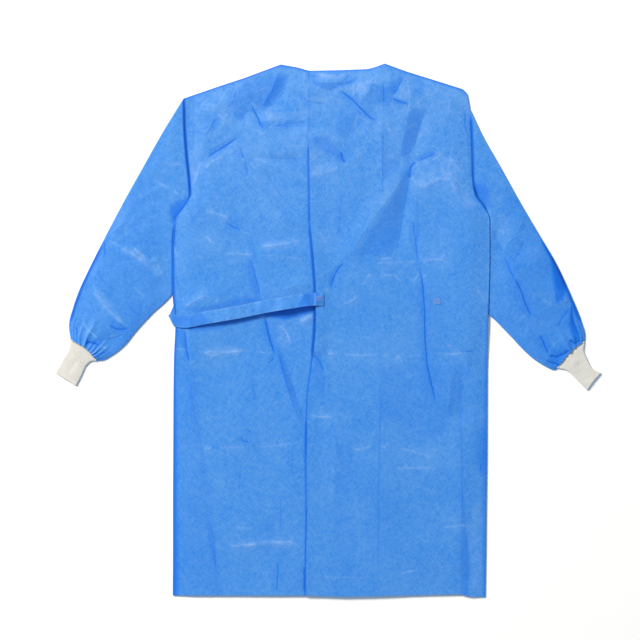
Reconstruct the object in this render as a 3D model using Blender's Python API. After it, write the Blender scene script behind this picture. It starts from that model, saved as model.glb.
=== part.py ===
"""A disposable surgical gown, laid flat with its back up and its front on the table.

It is made as it is cut and sewn: a front whose sides wrap round to seams on the back, two back
halves that lap over each other, two set-in sleeves gathered into knitted cuffs, and a waist tie
welded to the right half's free edge, led over the left half and folded round the left side.

Tables are in millimetres, seen from above: x runs to the wearer's right, y to the neck and z up
from the table. The origin is on the table, under the middle of the whole outline.
"""

from collections import namedtuple

import bmesh
import bpy
import numpy as np
from mathutils import Vector
from mathutils.bvhtree import BVHTree

MM = 0.001

# Cloth and seams
CLOTH = 1.2  # wall of the non-woven cloth, fibres and loft together
KNIT = 1.5  # wall of a cuff
LAYER_GAP = 0.4  # between two layers that lie on each other
SEAM_GAP = 0.35  # between two pieces that are sewn edge to edge
FLAT = 2 * CLOTH + LAYER_GAP  # height of two layers that lie on each other
TUCK_LIFT = FLAT + LAYER_GAP  # what lies over a tucked sleeve is lifted this much

# Body
LEFT_TIP_Y = 524.0  # where the left shoulder ends and its armhole begins
RIGHT_TIP_Y = 499.0
UNDERARM_Y = 250.0  # where the armholes run under the sides
HEM_Y = -597.0
FRONT_NECK_DROP = 95.0  # the front neckline lies this far below the back one
UPPER_ROWS = 11  # rows of cells from the shoulders to the underarms
LOWER_ROWS = 28  # and from there to the hem

Section = namedtuple("Section", "y left_edge left_seam opening underlap right_seam right_edge")
BODY = [
    Section(524, -325, -319, -42, 128, 311, 317),
    Section(468, -324, -318, -43, 122, 317.5, 323.5),
    Section(395, -319, -313, -45, 120, 320.3, 326.3),
    Section(339, -313, -307, -44, 120, 322, 328),
    Section(304, -311, -305, -43, 120, 329.5, 335.5),
    Section(278, -327, -321, -43, 120, 347, 353),
    Section(250, -345, -339, -42, 120, 358, 364),
    Section(160, -350.5, -344, -34, 120, 359, 364),
    Section(80, -349.5, -333, -29, 120, 356, 362),
    Section(10, -343.5, -325, -30, 120, 350, 360),
    Section(-60, -346.5, -315, -36, 120, 325, 359),
    Section(-160, -348, -301, -48, 120, 312, 358.5),
    Section(-280, -348.5, -284, -50, 120, 306, 358),
    Section(-400, -349, -274, -49, 120, 309, 356.5),
    Section(-500, -349, -257, -51, 120, 317, 355.5),
    Section(-597, -349.5, -248, -52, 120, 318, 354),
]
# The cells across the body, from one named line of BODY to the next
ACROSS = [
    ("left_edge", "left_seam", 2),
    ("left_seam", "opening", 10),
    ("opening", "underlap", 8),
    ("underlap", "right_seam", 8),
    ("right_seam", "right_edge", 2),
]

Point = namedtuple("Point", "x y")
NECK_LEFT = Point(-107, 600.5)
NECK_RIGHT = Point(128, 602.5)
TOP_EDGE = [
    Point(-325, 524),
    Point(-242, 552.5),
    Point(-190, 569.5),
    NECK_LEFT,
    Point(-70, 594),
    Point(-42, 586),
    Point(27, 587.5),
    Point(92, 590),
    Point(111, 596),
    NECK_RIGHT,
    Point(176, 585),
    Point(245, 563.5),
    Point(305, 544.5),
    Point(315, 534),
    Point(321, 499),
]
HEM_EDGE = [
    Point(-351, -598.5),
    Point(-52, -598.5),
    Point(40, -601.5),
    Point(200, -598),
    Point(298, -595.5),
    Point(320, -601.5),
    Point(355, -602.1),
]

# The largest folds of the back, from one end to the other: soft ridges, or hollows where the
# height is negative. Each is one of three heights and reaches to each side by one of two widths.
FAINT, MIDDLING, DEEP = 0.6, 1.0, 1.5
NARROW, BROAD = 25, 40
Fold = namedtuple("Fold", "start end height reach")
FOLDS = {
    "neck_hollow": Fold(Point(-95, 575), Point(-145, 505), -DEEP, NARROW),
    "shoulder_hollow": Fold(Point(-185, 550), Point(-195, 480), -MIDDLING, BROAD),
    "shoulder_swell": Fold(Point(-225, 555), Point(-255, 500), FAINT, NARROW),
    "left_blade_hollow": Fold(Point(-210, 430), Point(-275, 385), -FAINT, NARROW),
    "left_blade_ridge": Fold(Point(-200, 430), Point(-180, 345), FAINT, NARROW),
    "left_chest_hollow": Fold(Point(-140, 500), Point(-60, 470), -MIDDLING, BROAD),
    "left_chest_swell": Fold(Point(-120, 415), Point(-50, 415), MIDDLING, NARROW),
    "middle_chest_swell": Fold(Point(-35, 450), Point(25, 445), FAINT, BROAD),
    "neck_diagonal": Fold(Point(20, 545), Point(110, 475), -MIDDLING, NARROW),
    "neck_corner": Fold(Point(90, 560), Point(80, 515), MIDDLING, NARROW),
    "right_chest_ridge": Fold(Point(183, 505), Point(165, 400), MIDDLING, NARROW),
    "right_chest_hollow": Fold(Point(215, 495), Point(190, 400), -DEEP, BROAD),
    "right_back_ridge": Fold(Point(165, 350), Point(55, 180), DEEP, NARROW),
    "right_back_hollow": Fold(Point(175, 330), Point(155, 190), -DEEP, NARROW),
    "right_blade_swell": Fold(Point(205, 330), Point(285, 340), MIDDLING, BROAD),
    "underarm_swell": Fold(Point(290, 305), Point(325, 285), MIDDLING, BROAD),
    "left_waist_hollow": Fold(Point(-145, 200), Point(-55, 210), -FAINT, NARROW),
    "left_waist_ridge": Fold(Point(-145, 175), Point(-40, 180), FAINT, NARROW),
    "left_waist_drop": Fold(Point(-180, 160), Point(-155, 75), -FAINT, NARROW),
    "left_side_swell": Fold(Point(-325, 50), Point(-255, 80), DEEP, NARROW),
    "left_belly_hollow": Fold(Point(-280, 235), Point(-200, 210), -MIDDLING, BROAD),
    "left_skirt_swell": Fold(Point(-105, -50), Point(-60, -190), FAINT, BROAD),
    "opening_swell": Fold(Point(-25, -50), Point(-10, -160), FAINT, NARROW),
    "right_seam_swell": Fold(Point(300, -230), Point(305, -520), FAINT, NARROW),
    "right_long_swell": Fold(Point(217, 90), Point(225, -90), FAINT, BROAD),
    "right_skirt_swell": Fold(Point(15, -190), Point(10, -430), FAINT, BROAD),
    "hem_corner_hollow": Fold(Point(325, -400), Point(315, -590), -FAINT, NARROW),
}
PUFF = 2.25  # the air under the back's middle
FOLD_FADE = 45.0  # folds die out over this distance from a side, shoulder or armhole

# Sleeves: where each tube's end runs on under the side of the body, and its other edges
Sleeve = namedtuple("Sleeve", "tucked outer wrist inner gathers")
SLEEVES = {
    "left": Sleeve(
        tucked=[Point(-345, 250), Point(-338, 200), Point(-332, 150)],
        outer=[
            Point(-371, 449), Point(-414, 373), Point(-457, 296), Point(-505, 205),
            Point(-544, 127), Point(-561, 90), Point(-575, 50), Point(-584, 12),
        ],
        wrist=[Point(-580, -22), Point(-550, -39), Point(-524, -67.5)],
        inner=[
            Point(-340, 112), Point(-353.5, 82), Point(-400, 36), Point(-434, -1),
            Point(-460, -33), Point(-489, -56), Point(-512, -67),
        ],
        gathers=1.3,
    ),
    "right": Sleeve(
        tucked=[Point(364, 250), Point(352, 200), Point(343, 140)],
        outer=[
            Point(347, 442), Point(390, 366), Point(432.5, 289.5), Point(475.5, 216.5),
            Point(515, 149.5), Point(546, 83), Point(572.5, 16.5), Point(579.5, -12),
        ],
        wrist=[Point(578.5, -26), Point(552, -44), Point(518.7, -84.5)],
        inner=[
            Point(351, 85), Point(361, 42), Point(381, 21), Point(410, -9),
            Point(444, -45), Point(467, -65), Point(496, -82.5), Point(510, -88),
        ],
        gathers=1.5,
    ),
}
SLEEVE_RINGS = 15
TUCKED_CELLS = 3
SLEEVE_LOFT = 3.0  # how far the upper layer of a sleeve stands off the lower one
LOFT_STARTS = 0.2  # as shares of the sleeve's length, from the armhole
LOFT_FULL = 0.5
GATHERS_REACH = 0.16  # the gathers die out over this share of the sleeve's length

# Cuffs: from the wrist seam to the open end
Cuff = namedtuple("Cuff", "outer end inner")
CUFFS = {
    "left": Cuff(
        outer=[Point(-584, -42), Point(-598, -68)],
        end=[Point(-614.2, -96.5), Point(-592, -110), Point(-570, -124)],
        inner=[Point(-533, -68), Point(-547, -78), Point(-558, -101)],
    ),
    "right": Cuff(
        outer=[Point(576, -44), Point(583, -64), Point(597, -88)],
        end=[Point(614.5, -97), Point(600, -113), Point(585.6, -133)],
        inner=[Point(534, -87), Point(544, -92), Point(565, -113)],
    ),
}
CUFF_RINGS = 5
CUFF_CELLS = 8
CUFF_LOFT = 0.9

# Waist tie: its centre line over the back, its fold at the left side, and its hidden end
TIE_WIDTH = 28.5
TIE_CELL = 17.0  # length of a cell along the tie
TIE_CLEAR = 0.5  # over the highest place of the cloth under it
TIE_LINE = [
    Point(-10, 70), Point(-30, 70), Point(-86, 63), Point(-149, 52),
    Point(-208, 40), Point(-273, 29), Point(-334, 19),
]
TIE_FOLD_UPPER = Point(-357.5, 36)  # ends of the slanting line that the tie is folded along
TIE_FOLD_LOWER = Point(-344, 9)
TIE_HIDDEN_LENGTH = 80.0
# How far the tie, which is stiff and bent, stands off the cloth that it crosses
Stand = namedtuple("Stand", "x height")
TIE_STANDS = [
    Stand(-340, 1.5), Stand(-300, 4.5), Stand(-235, 8), Stand(-145, 7.5), Stand(-100, 11),
    Stand(-45, 8), Stand(-28, 0),
]

WELD_SIDE = 15.0
WELD_THICK = 0.5
WELD_CELLS = 3
TIE_WELD_AT = Point(-20.5, 70.5)
INNER_TIE_WELD_AT = Point(246.5, 65.5)

# Where the body lies over a tucked sleeve or the hidden end of the tie, as lines under it
Tuck = namedtuple("Tuck", "start end")
TUCKS = [
    Tuck(Point(-345, 235), Point(-340, 100)),
    Tuck(Point(-354, 22), Point(-302, 75)),
    Tuck(Point(362, 240), Point(352, 60)),
]
TUCK_REACH = 34.0  # the lift is whole within this distance of such a line
TUCK_ENDS = 160.0  # and gone at this one

TURN_ANGLES = np.radians([30.0, -30.0])  # the points of a folded edge between its two layers

FINISHES = {
    "nonwoven": ((0.10, 0.32, 0.82), 0.72),
    "knit": ((0.78, 0.77, 0.74), 0.95),
    "weld": ((0.06, 0.20, 0.62), 0.45),
}


def monotone(known, values, at):
    """A smooth curve through the values that never overshoots them; known runs upwards."""
    known, values = np.asarray(known, float), np.asarray(values, float)
    step = np.diff(known)
    rise = np.diff(values) / step
    slope = np.zeros(len(known))
    slope[0], slope[-1] = rise[0], rise[-1]
    onward = rise[:-1] * rise[1:] > 0
    both = rise[:-1] + rise[1:]
    slope[1:-1][onward] = (2 * rise[:-1] * rise[1:])[onward] / both[onward]
    at = np.clip(at, known[0], known[-1])
    k = np.clip(np.searchsorted(known, at) - 1, 0, len(known) - 2)
    t = (at - known[k]) / step[k]
    start = (1 + 2 * t) * (1 - t) ** 2 * values[k] + t * (1 - t) ** 2 * step[k] * slope[k]
    end = t**2 * (3 - 2 * t) * values[k + 1] + t**2 * (t - 1) * step[k] * slope[k + 1]
    return start + end


def ease(low, high, at):
    """0 up to low, 1 from high on, and smooth between."""
    t = np.clip((at - low) / (high - low), 0, 1)
    return t * t * (3 - 2 * t)


def route(points, shares):
    """Points along a smooth line through the given ones, at these shares of its length."""
    points = np.array(points, float)
    run = np.concatenate([[0], np.cumsum(np.linalg.norm(np.diff(points, axis=0), axis=1))])
    at = np.asarray(shares) * run[-1]
    return np.stack([monotone(run, points[:, axis], at) for axis in (0, 1)], axis=-1)


def distance_to(line_start, line_end, x, y):
    """Distance in plan from each point to a straight stretch."""
    along = np.array(line_end, float) - np.array(line_start, float)
    t = ((x - line_start.x) * along[0] + (y - line_start.y) * along[1]) / (along @ along)
    t = np.clip(t, 0, 1)
    return np.hypot(x - line_start.x - t * along[0], y - line_start.y - t * along[1])


def body_line(name, y):
    """x of one of BODY's lines at each y."""
    upwards = BODY[::-1]
    return monotone([s.y for s in upwards], [getattr(s, name) for s in upwards], y)


def edge_y(edge, x):
    """y of the top edge or the hem at each x: straight from one of its corners to the next."""
    return np.interp(x, [p.x for p in edge], [p.y for p in edge])


def lift(x, y):
    """How far the body is raised over the tucked sleeves and the hidden end of the tie."""
    nearest = np.min([distance_to(t.start, t.end, x, y) for t in TUCKS], axis=0)
    return TUCK_LIFT * (1 - ease(TUCK_REACH, TUCK_ENDS, nearest))


def relief(x, y):
    """Height of the folds of the back over its flat form, which they never go below."""
    height = PUFF + sum(
        f.height * np.exp(-((distance_to(f.start, f.end, x, y) / f.reach) ** 2))
        for f in FOLDS.values()
    )
    from_left = x - body_line("left_edge", y)
    from_right = body_line("right_edge", y) - x
    from_top = edge_y(TOP_EDGE, x) - y
    for distance in (from_left, from_right, from_top):
        height = height * ease(0, FOLD_FADE, distance)
    return np.maximum(height, 0)


def body_lattice(scooped):
    """Plan points of the body, [column, row, xy], shared by the layers that lie on each other.

    scooped takes the neckline down to the front's.
    """
    columns = []
    for left, right, cells in ACROSS:
        tip_y = LEFT_TIP_Y if right in ("left_seam", "opening") else RIGHT_TIP_Y
        row_y = np.concatenate(
            [
                np.linspace(tip_y, UNDERARM_Y, UPPER_ROWS + 1),
                np.linspace(UNDERARM_Y, HEM_Y, LOWER_ROWS + 1)[1:],
            ]
        )
        first = 0 if left == "left_edge" else 1
        for k in range(first, cells + 1):
            share = k / cells
            x = (1 - share) * body_line(left, row_y) + share * body_line(right, row_y)
            columns.append((x, row_y))
    x = np.array([c[0] for c in columns])
    y = np.array([c[1] for c in columns])
    top = edge_y(TOP_EDGE, x[:, 0])
    if scooped:
        across = (x[:, 0] - NECK_LEFT.x) / (NECK_RIGHT.x - NECK_LEFT.x)
        top = top - FRONT_NECK_DROP * np.sqrt(np.clip(1 - (2 * across - 1) ** 2, 0, 1))
    down = np.arange(UPPER_ROWS + 1) / UPPER_ROWS
    y[:, : UPPER_ROWS + 1] = top[:, None] + (UNDERARM_Y - top[:, None]) * down
    y[:, -1] = edge_y(HEM_EDGE, x[:, -1])
    return np.stack([x, y], axis=-1)


def column_of(line):
    """The lattice column that follows one of BODY's lines."""
    column = 0
    for left, _, cells in ACROSS:
        if left == line:
            return column
        column += cells
    return column


def material(slot):
    """The slot's Principled material, made once."""
    if slot in bpy.data.materials:
        return bpy.data.materials[slot]
    colour, roughness = FINISHES[slot]
    made = bpy.data.materials.new(slot)
    made.use_nodes = True
    shader = made.node_tree.nodes["Principled BSDF"]
    shader.inputs["Base Color"].default_value = (*colour, 1)
    shader.inputs["Roughness"].default_value = roughness
    shader.inputs["Metallic"].default_value = 0
    return made


def wall(name, outer, inner, faces, slot):
    """A closed wall of cloth between two skins that share their faces, with rims round its edges."""
    outer, inner = np.asarray(outer).reshape(-1, 3), np.asarray(inner).reshape(-1, 3)
    used = sorted({v for face in faces for v in face})
    index = {v: k for k, v in enumerate(used)}
    faces = [[index[v] for v in face] for face in faces]
    outer, inner = outer[used], inner[used]
    count = len(used)
    ways = {(a, b) for face in faces for a, b in zip(face, face[1:] + face[:1])}
    edges = sorted((a, b) for a, b in ways if (b, a) not in ways)
    rims = [[b, a, a + count] for a, b in edges] + [[b, a + count, b + count] for a, b in edges]
    inside = [[v + count for v in reversed(face)] for face in faces]
    mesh = bpy.data.meshes.new(name)
    points = np.concatenate([outer, inner]) * MM
    mesh.from_pydata(points.tolist(), [], faces + inside + rims)
    work = bmesh.new()
    work.from_mesh(mesh)
    bmesh.ops.recalc_face_normals(work, faces=work.faces)
    work.to_mesh(mesh)
    work.free()
    mesh.materials.append(material(slot))
    made = bpy.data.objects.new(name, mesh)
    bpy.context.scene.collection.objects.link(made)
    mesh.shade_smooth()
    mesh.set_sharp_from_angle(angle=np.radians(40))
    return made


def cells(ids, turned_over=False):
    """The faces of a grid of point numbers, two triangles to a cell."""
    a, b, c, d = ids[:-1, :-1], ids[1:, :-1], ids[1:, 1:], ids[:-1, 1:]
    order = [c, b, a, d, c, a] if turned_over else [a, b, c, a, c, d]
    return np.stack(order, axis=-1).reshape(-1, 3).tolist()


def turned_edge(plan, outward, low, high, thick):
    """The points of a folded edge between its lower and upper layer, top first.

    low and high are the outer skins' heights; outward is the direction in plan that it bulges in.
    Returns the outer and the inner skin, each [angle, row, xyz].
    """
    middle, radius = (low + high) / 2, (high - low) / 2
    skins = []
    for r in (radius, radius - thick):
        rows = []
        for angle in TURN_ANGLES:
            out = plan + outward * (r * np.cos(angle))[:, None]
            rows.append(np.column_stack([out, middle + r * np.sin(angle)]))
        skins.append(np.array(rows))
    return skins


def with_height(plan, z):
    return np.concatenate([plan, z[..., None]], axis=-1)


def make_front():
    """The front on the table, and its two sides folded over to the seams on the back."""
    plan = body_lattice(scooped=True)
    low = lift(plan[..., 0], plan[..., 1])
    outer = [with_height(plan, low)]
    inner = [with_height(plan, low + CLOTH)]
    columns, rows = plan.shape[:2]
    bottom = np.arange(columns * rows).reshape(columns, rows)
    faces = cells(bottom, turned_over=True)
    start = columns * rows
    folded = slice(UPPER_ROWS, rows)
    for edge, strip_columns, outward in (
        (0, range(0, column_of("left_seam") + 1), -1.0),
        (columns - 1, range(column_of("right_seam"), columns), 1.0),
    ):
        edge_low = low[edge, folded]
        away = np.tile([outward, 0.0], (len(edge_low), 1))
        turns = turned_edge(plan[edge, folded], away, edge_low, edge_low + FLAT, CLOTH)
        strip = plan[list(strip_columns)][:, folded]
        strip_low = low[list(strip_columns)][:, folded] + relief(strip[..., 0], strip[..., 1])
        tops = [with_height(strip, strip_low + FLAT - inward) for inward in (0, CLOTH)]
        # On the left from the lower layer up round the fold and in; on the right the other way.
        for skin, turn, top in zip((outer, inner), turns, tops):
            skin += [turn[::-1], top] if edge == 0 else [top, turn]
        count = (len(TURN_ANGLES) + len(strip)) * strip.shape[1]
        more = np.arange(start, start + count).reshape(-1, strip.shape[1])
        joint = bottom[edge, folded][None]
        faces += cells(np.concatenate([joint, more] if edge == 0 else [more, joint]))
        start += count
    flat = [np.concatenate([part.reshape(-1, 3) for part in skin]) for skin in (outer, inner)]
    return wall("front_panel", *flat, faces, "nonwoven")


def make_back(side):
    """One half of the back. The right one is lifted over the left where they overlap."""
    plan = body_lattice(scooped=False)
    x, y = plan[..., 0], plan[..., 1]
    low = lift(x, y) + CLOTH + LAYER_GAP + relief(x, y)
    left_seam, right_seam = column_of("left_seam"), column_of("right_seam")
    opening, underlap = column_of("opening"), column_of("underlap")
    columns, rows = plan.shape[:2]
    if side == "left":
        whole, seam, apart = range(0, underlap + 1), left_seam, SEAM_GAP
    else:
        whole, seam, apart = range(opening, columns), right_seam, -SEAM_GAP
        low[: underlap + 1] += CLOTH + LAYER_GAP
    # Below the underarm the front's folded side takes the outermost columns.
    plan[seam, UPPER_ROWS:, 0] += apart
    outside = [c for c in whole if (c < seam if side == "left" else c > seam)]
    plan[outside + [seam], UPPER_ROWS, 1] += SEAM_GAP
    ids = np.arange(columns * rows).reshape(columns, rows)
    faces = []
    for c in whole[:-1]:
        beyond = c < left_seam or c >= right_seam
        last = UPPER_ROWS if beyond else rows - 1
        faces += cells(ids[c : c + 2, : last + 1])
    return wall(
        "back_" + side,
        with_height(plan, low + CLOTH),
        with_height(plan, low),
        faces,
        "nonwoven",
    )


def patch(top, bottom, left, right, down):
    """A Coons patch, [down, across, xy]: straight blends between its four edges, made to agree.

    down holds how far down each of its lines lies, from 0 at the top to 1 at the bottom.
    """
    across = np.linspace(0, 1, len(top))[None, :, None]
    down = down[:, None, None]
    between_ends = (1 - down) * top[None] + down * bottom[None]
    between_sides = (1 - across) * left[:, None] + across * right[:, None]
    corners = (1 - down) * ((1 - across) * top[0] + across * top[-1])
    corners = corners + down * ((1 - across) * bottom[0] + across * bottom[-1])
    return between_ends + between_sides - corners


def outward_of(plan, edge):
    """Unit directions in plan that point out of a patch at its first or last line across.

    At a tube's two ends they run on along its seams, so that the next piece's can meet them.
    """
    line = plan[:, edge]
    along = np.gradient(line, axis=0)
    normal = np.column_stack([along[:, 1], -along[:, 0]])
    outward = line - plan[:, 1 if edge == 0 else -2]
    normal *= np.sign((normal * outward).sum(1))[:, None]
    normal[[0, -1]] = outward[[0, -1]]
    return normal / np.linalg.norm(normal, axis=1)[:, None]


def tube(name, plan, low, high, thick, slot):
    """A flat tube with both ends open: an upper and a lower layer and two folded edges.

    plan is [ring, across, xy]; low and high are the outer skins' heights there.
    """
    upper_outer, upper_inner = with_height(plan, high), with_height(plan, high - thick)
    lower_outer, lower_inner = with_height(plan, low), with_height(plan, low + thick)
    last = plan.shape[1] - 1
    far = turned_edge(plan[:, last], outward_of(plan, last), low[:, last], high[:, last], thick)
    near = turned_edge(plan[:, 0], outward_of(plan, 0), low[:, 0], high[:, 0], thick)
    skins = []
    for upper, lower, k in ((upper_outer, lower_outer, 0), (upper_inner, lower_inner, 1)):
        round_far = far[k].transpose(1, 0, 2)
        round_near = near[k].transpose(1, 0, 2)[:, ::-1]
        skins.append(np.concatenate([upper, round_far, lower[:, ::-1], round_near], axis=1))
    rings, around = skins[0].shape[:2]
    ids = np.arange(rings * around).reshape(rings, around)
    closed = np.concatenate([ids, ids[:, :1]], axis=1)
    return wall(name, *skins, cells(closed), slot)


def sleeve_plan(side):
    """Plan points of a sleeve, from the armhole to the wrist and from the outer to the inner edge."""
    shape = SLEEVES[side]
    lattice = body_lattice(scooped=False)
    column, away = (0, -SEAM_GAP) if side == "left" else (-1, SEAM_GAP)
    armhole = lattice[column, : UPPER_ROWS + 1] + [away, 0]
    tucked = route(shape.tucked, np.linspace(0, 1, TUCKED_CELLS + 1)) + [away, 0]
    end = np.concatenate([armhole, tucked[1:]])
    wrist = route(shape.wrist, np.linspace(0, 1, len(end)))
    rings = 1 - (1 - np.linspace(0, 1, SLEEVE_RINGS + 1)) ** 1.25  # closer to each other at the wrist
    outer = route([end[0], *shape.outer, shape.wrist[0]], rings)
    inner = route([end[-1], *shape.inner, shape.wrist[-1]], rings)
    return patch(end, wrist, outer, inner, rings)


def make_sleeve(side):
    """A sleeve that stands a little off the table and is gathered at the wrist."""
    plan = sleeve_plan(side)
    rings, points = plan.shape[:2]
    down = np.linspace(0, 1, rings)[:, None]
    across = np.linspace(0, 1, points)[None, :]
    loft = ease(LOFT_STARTS, LOFT_FULL, down) * np.sin(np.pi * across)
    loft = loft * (1 - 0.5 * ease(0.9, 1.0, down)) * SLEEVE_LOFT
    pleats = ease(1 - GATHERS_REACH, 1, down) * SLEEVES[side].gathers
    pleats = pleats * (np.arange(points) % 2)[None, :]
    low = np.zeros((rings, points))
    return tube("sleeve_" + side, plan, low, low + FLAT + loft + pleats, CLOTH, "nonwoven")


def make_cuff(side):
    """A knitted cuff that goes on from the sleeve's wrist."""
    shape, sleeve = CUFFS[side], SLEEVES[side]
    start = route(sleeve.wrist, np.linspace(0, 1, CUFF_CELLS + 1))
    end = route(shape.end, np.linspace(0, 1, CUFF_CELLS + 1))
    onward = (end.mean(0) - start.mean(0)) / np.linalg.norm(end.mean(0) - start.mean(0))
    start = start + onward * 2 * SEAM_GAP
    rings = np.linspace(0, 1, CUFF_RINGS + 1)
    outer = route([start[0], *shape.outer, shape.end[0]], rings)
    inner = route([start[-1], *shape.inner, shape.end[-1]], rings)
    plan = patch(start, end, outer, inner, rings)
    across = np.linspace(0, 1, CUFF_CELLS + 1)[None, :]
    low = np.zeros(plan.shape[:2])
    high = low + 2 * KNIT + LAYER_GAP + CUFF_LOFT * np.sin(np.pi * across)
    return tube("cuff_" + side, plan, low, high, KNIT, "knit")


def height_finder(pieces):
    """A function that gives the height of the highest of these pieces under a point."""
    trees = []
    for piece in pieces:
        points = [v.co / MM for v in piece.data.vertices]
        trees.append(BVHTree.FromPolygons(points, [p.vertices[:] for p in piece.data.polygons]))

    def height(x, y):
        above, down = Vector((x, y, 1000.0)), Vector((0, 0, -1))
        found = [tree.ray_cast(above, down)[0] for tree in trees]
        return max([hit.z for hit in found if hit is not None], default=0.0)

    return height


def make_tie(height):
    """The waist tie, from its welded end over the back, round the left side and under the front."""
    half = TIE_WIDTH / 2
    fold_middle = Point(*(np.array(TIE_FOLD_UPPER) + np.array(TIE_FOLD_LOWER)) / 2)
    line = np.array([*TIE_LINE, fold_middle], float)
    length = np.linalg.norm(np.diff(line, axis=0), axis=1).sum()
    middle = route(line, np.linspace(0, 1, int(length / TIE_CELL) + 1))
    along = np.gradient(middle, axis=0)
    along /= np.linalg.norm(along, axis=1)[:, None]
    across = np.column_stack([along[:, 1], -along[:, 0]])  # towards the upper edge
    upper, lower = middle + across * half, middle - across * half
    upper[-1], lower[-1] = TIE_FOLD_UPPER, TIE_FOLD_LOWER

    # It clears the highest cloth within a cell of each station.
    clear = []
    for k in range(len(middle)):
        near = middle[max(k - 1, 0) : k + 2]
        spots = [
            spot + across[k] * shift
            for a, b in zip(near[:-1], near[1:])
            for spot in (a, (a + b) / 2, b)
            for shift in np.linspace(-half, half, 5)
        ]
        clear.append(max(height(*spot) for spot in spots) + TIE_CLEAR)
    low = np.array(clear)
    low += np.interp(middle[:, 0], [s.x for s in TIE_STANDS], [s.height for s in TIE_STANDS])
    low[-1] = low[-2]

    # Round the fold, then back under the front in the direction that the slant turns it to.
    fold = np.array([TIE_FOLD_UPPER, TIE_FOLD_LOWER], float)
    slant = (fold[1] - fold[0]) / np.linalg.norm(fold[1] - fold[0])
    onward = 2 * (along[-2] @ slant) * slant - along[-2]
    out = np.array([slant[1], -slant[0]])
    out *= -np.sign(out @ onward)
    top = low[-1] + CLOTH
    turn_outer, turn_inner = turned_edge(
        fold, np.tile(out, (2, 1)), np.zeros(2), np.full(2, top), CLOTH
    )
    hidden = np.array([fold + onward * s for s in (0, TIE_HIDDEN_LENGTH / 2, TIE_HIDDEN_LENGTH)])
    over = np.stack([upper, lower], axis=1)
    level = np.repeat(low[:, None], 2, axis=1)
    floor = np.zeros(hidden.shape[:2])
    outer = [with_height(over, level + CLOTH), turn_outer, with_height(hidden, floor)]
    inner = [with_height(over, level), turn_inner, with_height(hidden, floor + CLOTH)]
    skins = [np.concatenate(parts) for parts in (outer, inner)]
    ids = np.arange(len(skins[0]) * 2).reshape(-1, 2)
    return wall("waist_tie", *skins, cells(ids), "nonwoven")


def make_weld(name, centre, height):
    """A small square patch that follows the cloth it is pressed into."""
    side = np.linspace(-WELD_SIDE / 2, WELD_SIDE / 2, WELD_CELLS + 1)
    plan = np.stack(np.meshgrid(centre.x + side, centre.y + side, indexing="ij"), axis=-1)
    under = np.array([[height(*spot) for spot in row] for row in plan])
    low = under + SEAM_GAP
    ids = np.arange(low.size).reshape(low.shape)
    outer, inner = with_height(plan, low + WELD_THICK), with_height(plan, low)
    return wall(name, outer, inner, cells(ids), "weld")


def main():
    for old in list(bpy.data.objects):
        bpy.data.objects.remove(old, do_unlink=True)
    make_front()
    backs = [make_back("left"), make_back("right")]
    for side in ("left", "right"):
        make_sleeve(side)
        make_cuff(side)
    tie = make_tie(height_finder([*backs, bpy.data.objects["front_panel"]]))
    make_weld("tie_weld", TIE_WELD_AT, height_finder([tie]))
    make_weld("inner_tie_weld", INNER_TIE_WELD_AT, height_finder(backs))


main()
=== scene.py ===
"""The looks of a disposable surgical gown that lies flat with its back up.

Every piece of cloth is a thin shell on its solid's form. The form is worked out in millimetres
from the gown's own sizes, as heights over the table, and creases of a few kinds are added to it.
x runs to the wearer's right, y to the neck and z up. Meshes are put into the frame in metres.
"""

from collections import namedtuple

import bpy
import numpy as np
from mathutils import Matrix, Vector


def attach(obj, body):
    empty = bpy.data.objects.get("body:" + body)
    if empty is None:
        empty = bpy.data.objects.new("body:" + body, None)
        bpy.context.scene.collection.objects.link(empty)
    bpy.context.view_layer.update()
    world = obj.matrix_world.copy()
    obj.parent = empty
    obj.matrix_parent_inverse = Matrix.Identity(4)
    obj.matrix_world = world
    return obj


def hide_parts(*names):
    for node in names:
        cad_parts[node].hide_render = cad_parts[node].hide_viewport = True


MM = 0.001

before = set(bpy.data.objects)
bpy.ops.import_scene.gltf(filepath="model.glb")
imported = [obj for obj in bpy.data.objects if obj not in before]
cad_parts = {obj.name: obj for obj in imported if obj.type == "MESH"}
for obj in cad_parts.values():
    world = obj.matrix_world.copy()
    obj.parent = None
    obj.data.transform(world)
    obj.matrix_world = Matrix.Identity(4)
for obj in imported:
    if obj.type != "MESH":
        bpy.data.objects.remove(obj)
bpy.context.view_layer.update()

# Cloth, as in the solids: the shells are thinner and their outer skins lie where the solids' do.
CLOTH = 1.2
KNIT = 1.5
LAYER_GAP = 0.4
SEAM_GAP = 0.08
FLAT = 2 * CLOTH + LAYER_GAP
TUCK_LIFT = FLAT + LAYER_GAP
SHELL = 0.55
KNIT_SHELL = 1.0

LEFT_TIP_Y = 524.0
RIGHT_TIP_Y = 499.0
UNDERARM_Y = 250.0
HEM_Y = -597.0
FRONT_NECK_DROP = 95.0

PITCH = 3.1  # spacing of the grids' lines where the cloth shows
HIDDEN_PITCH = 9.0  # and where it doesn't

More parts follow.
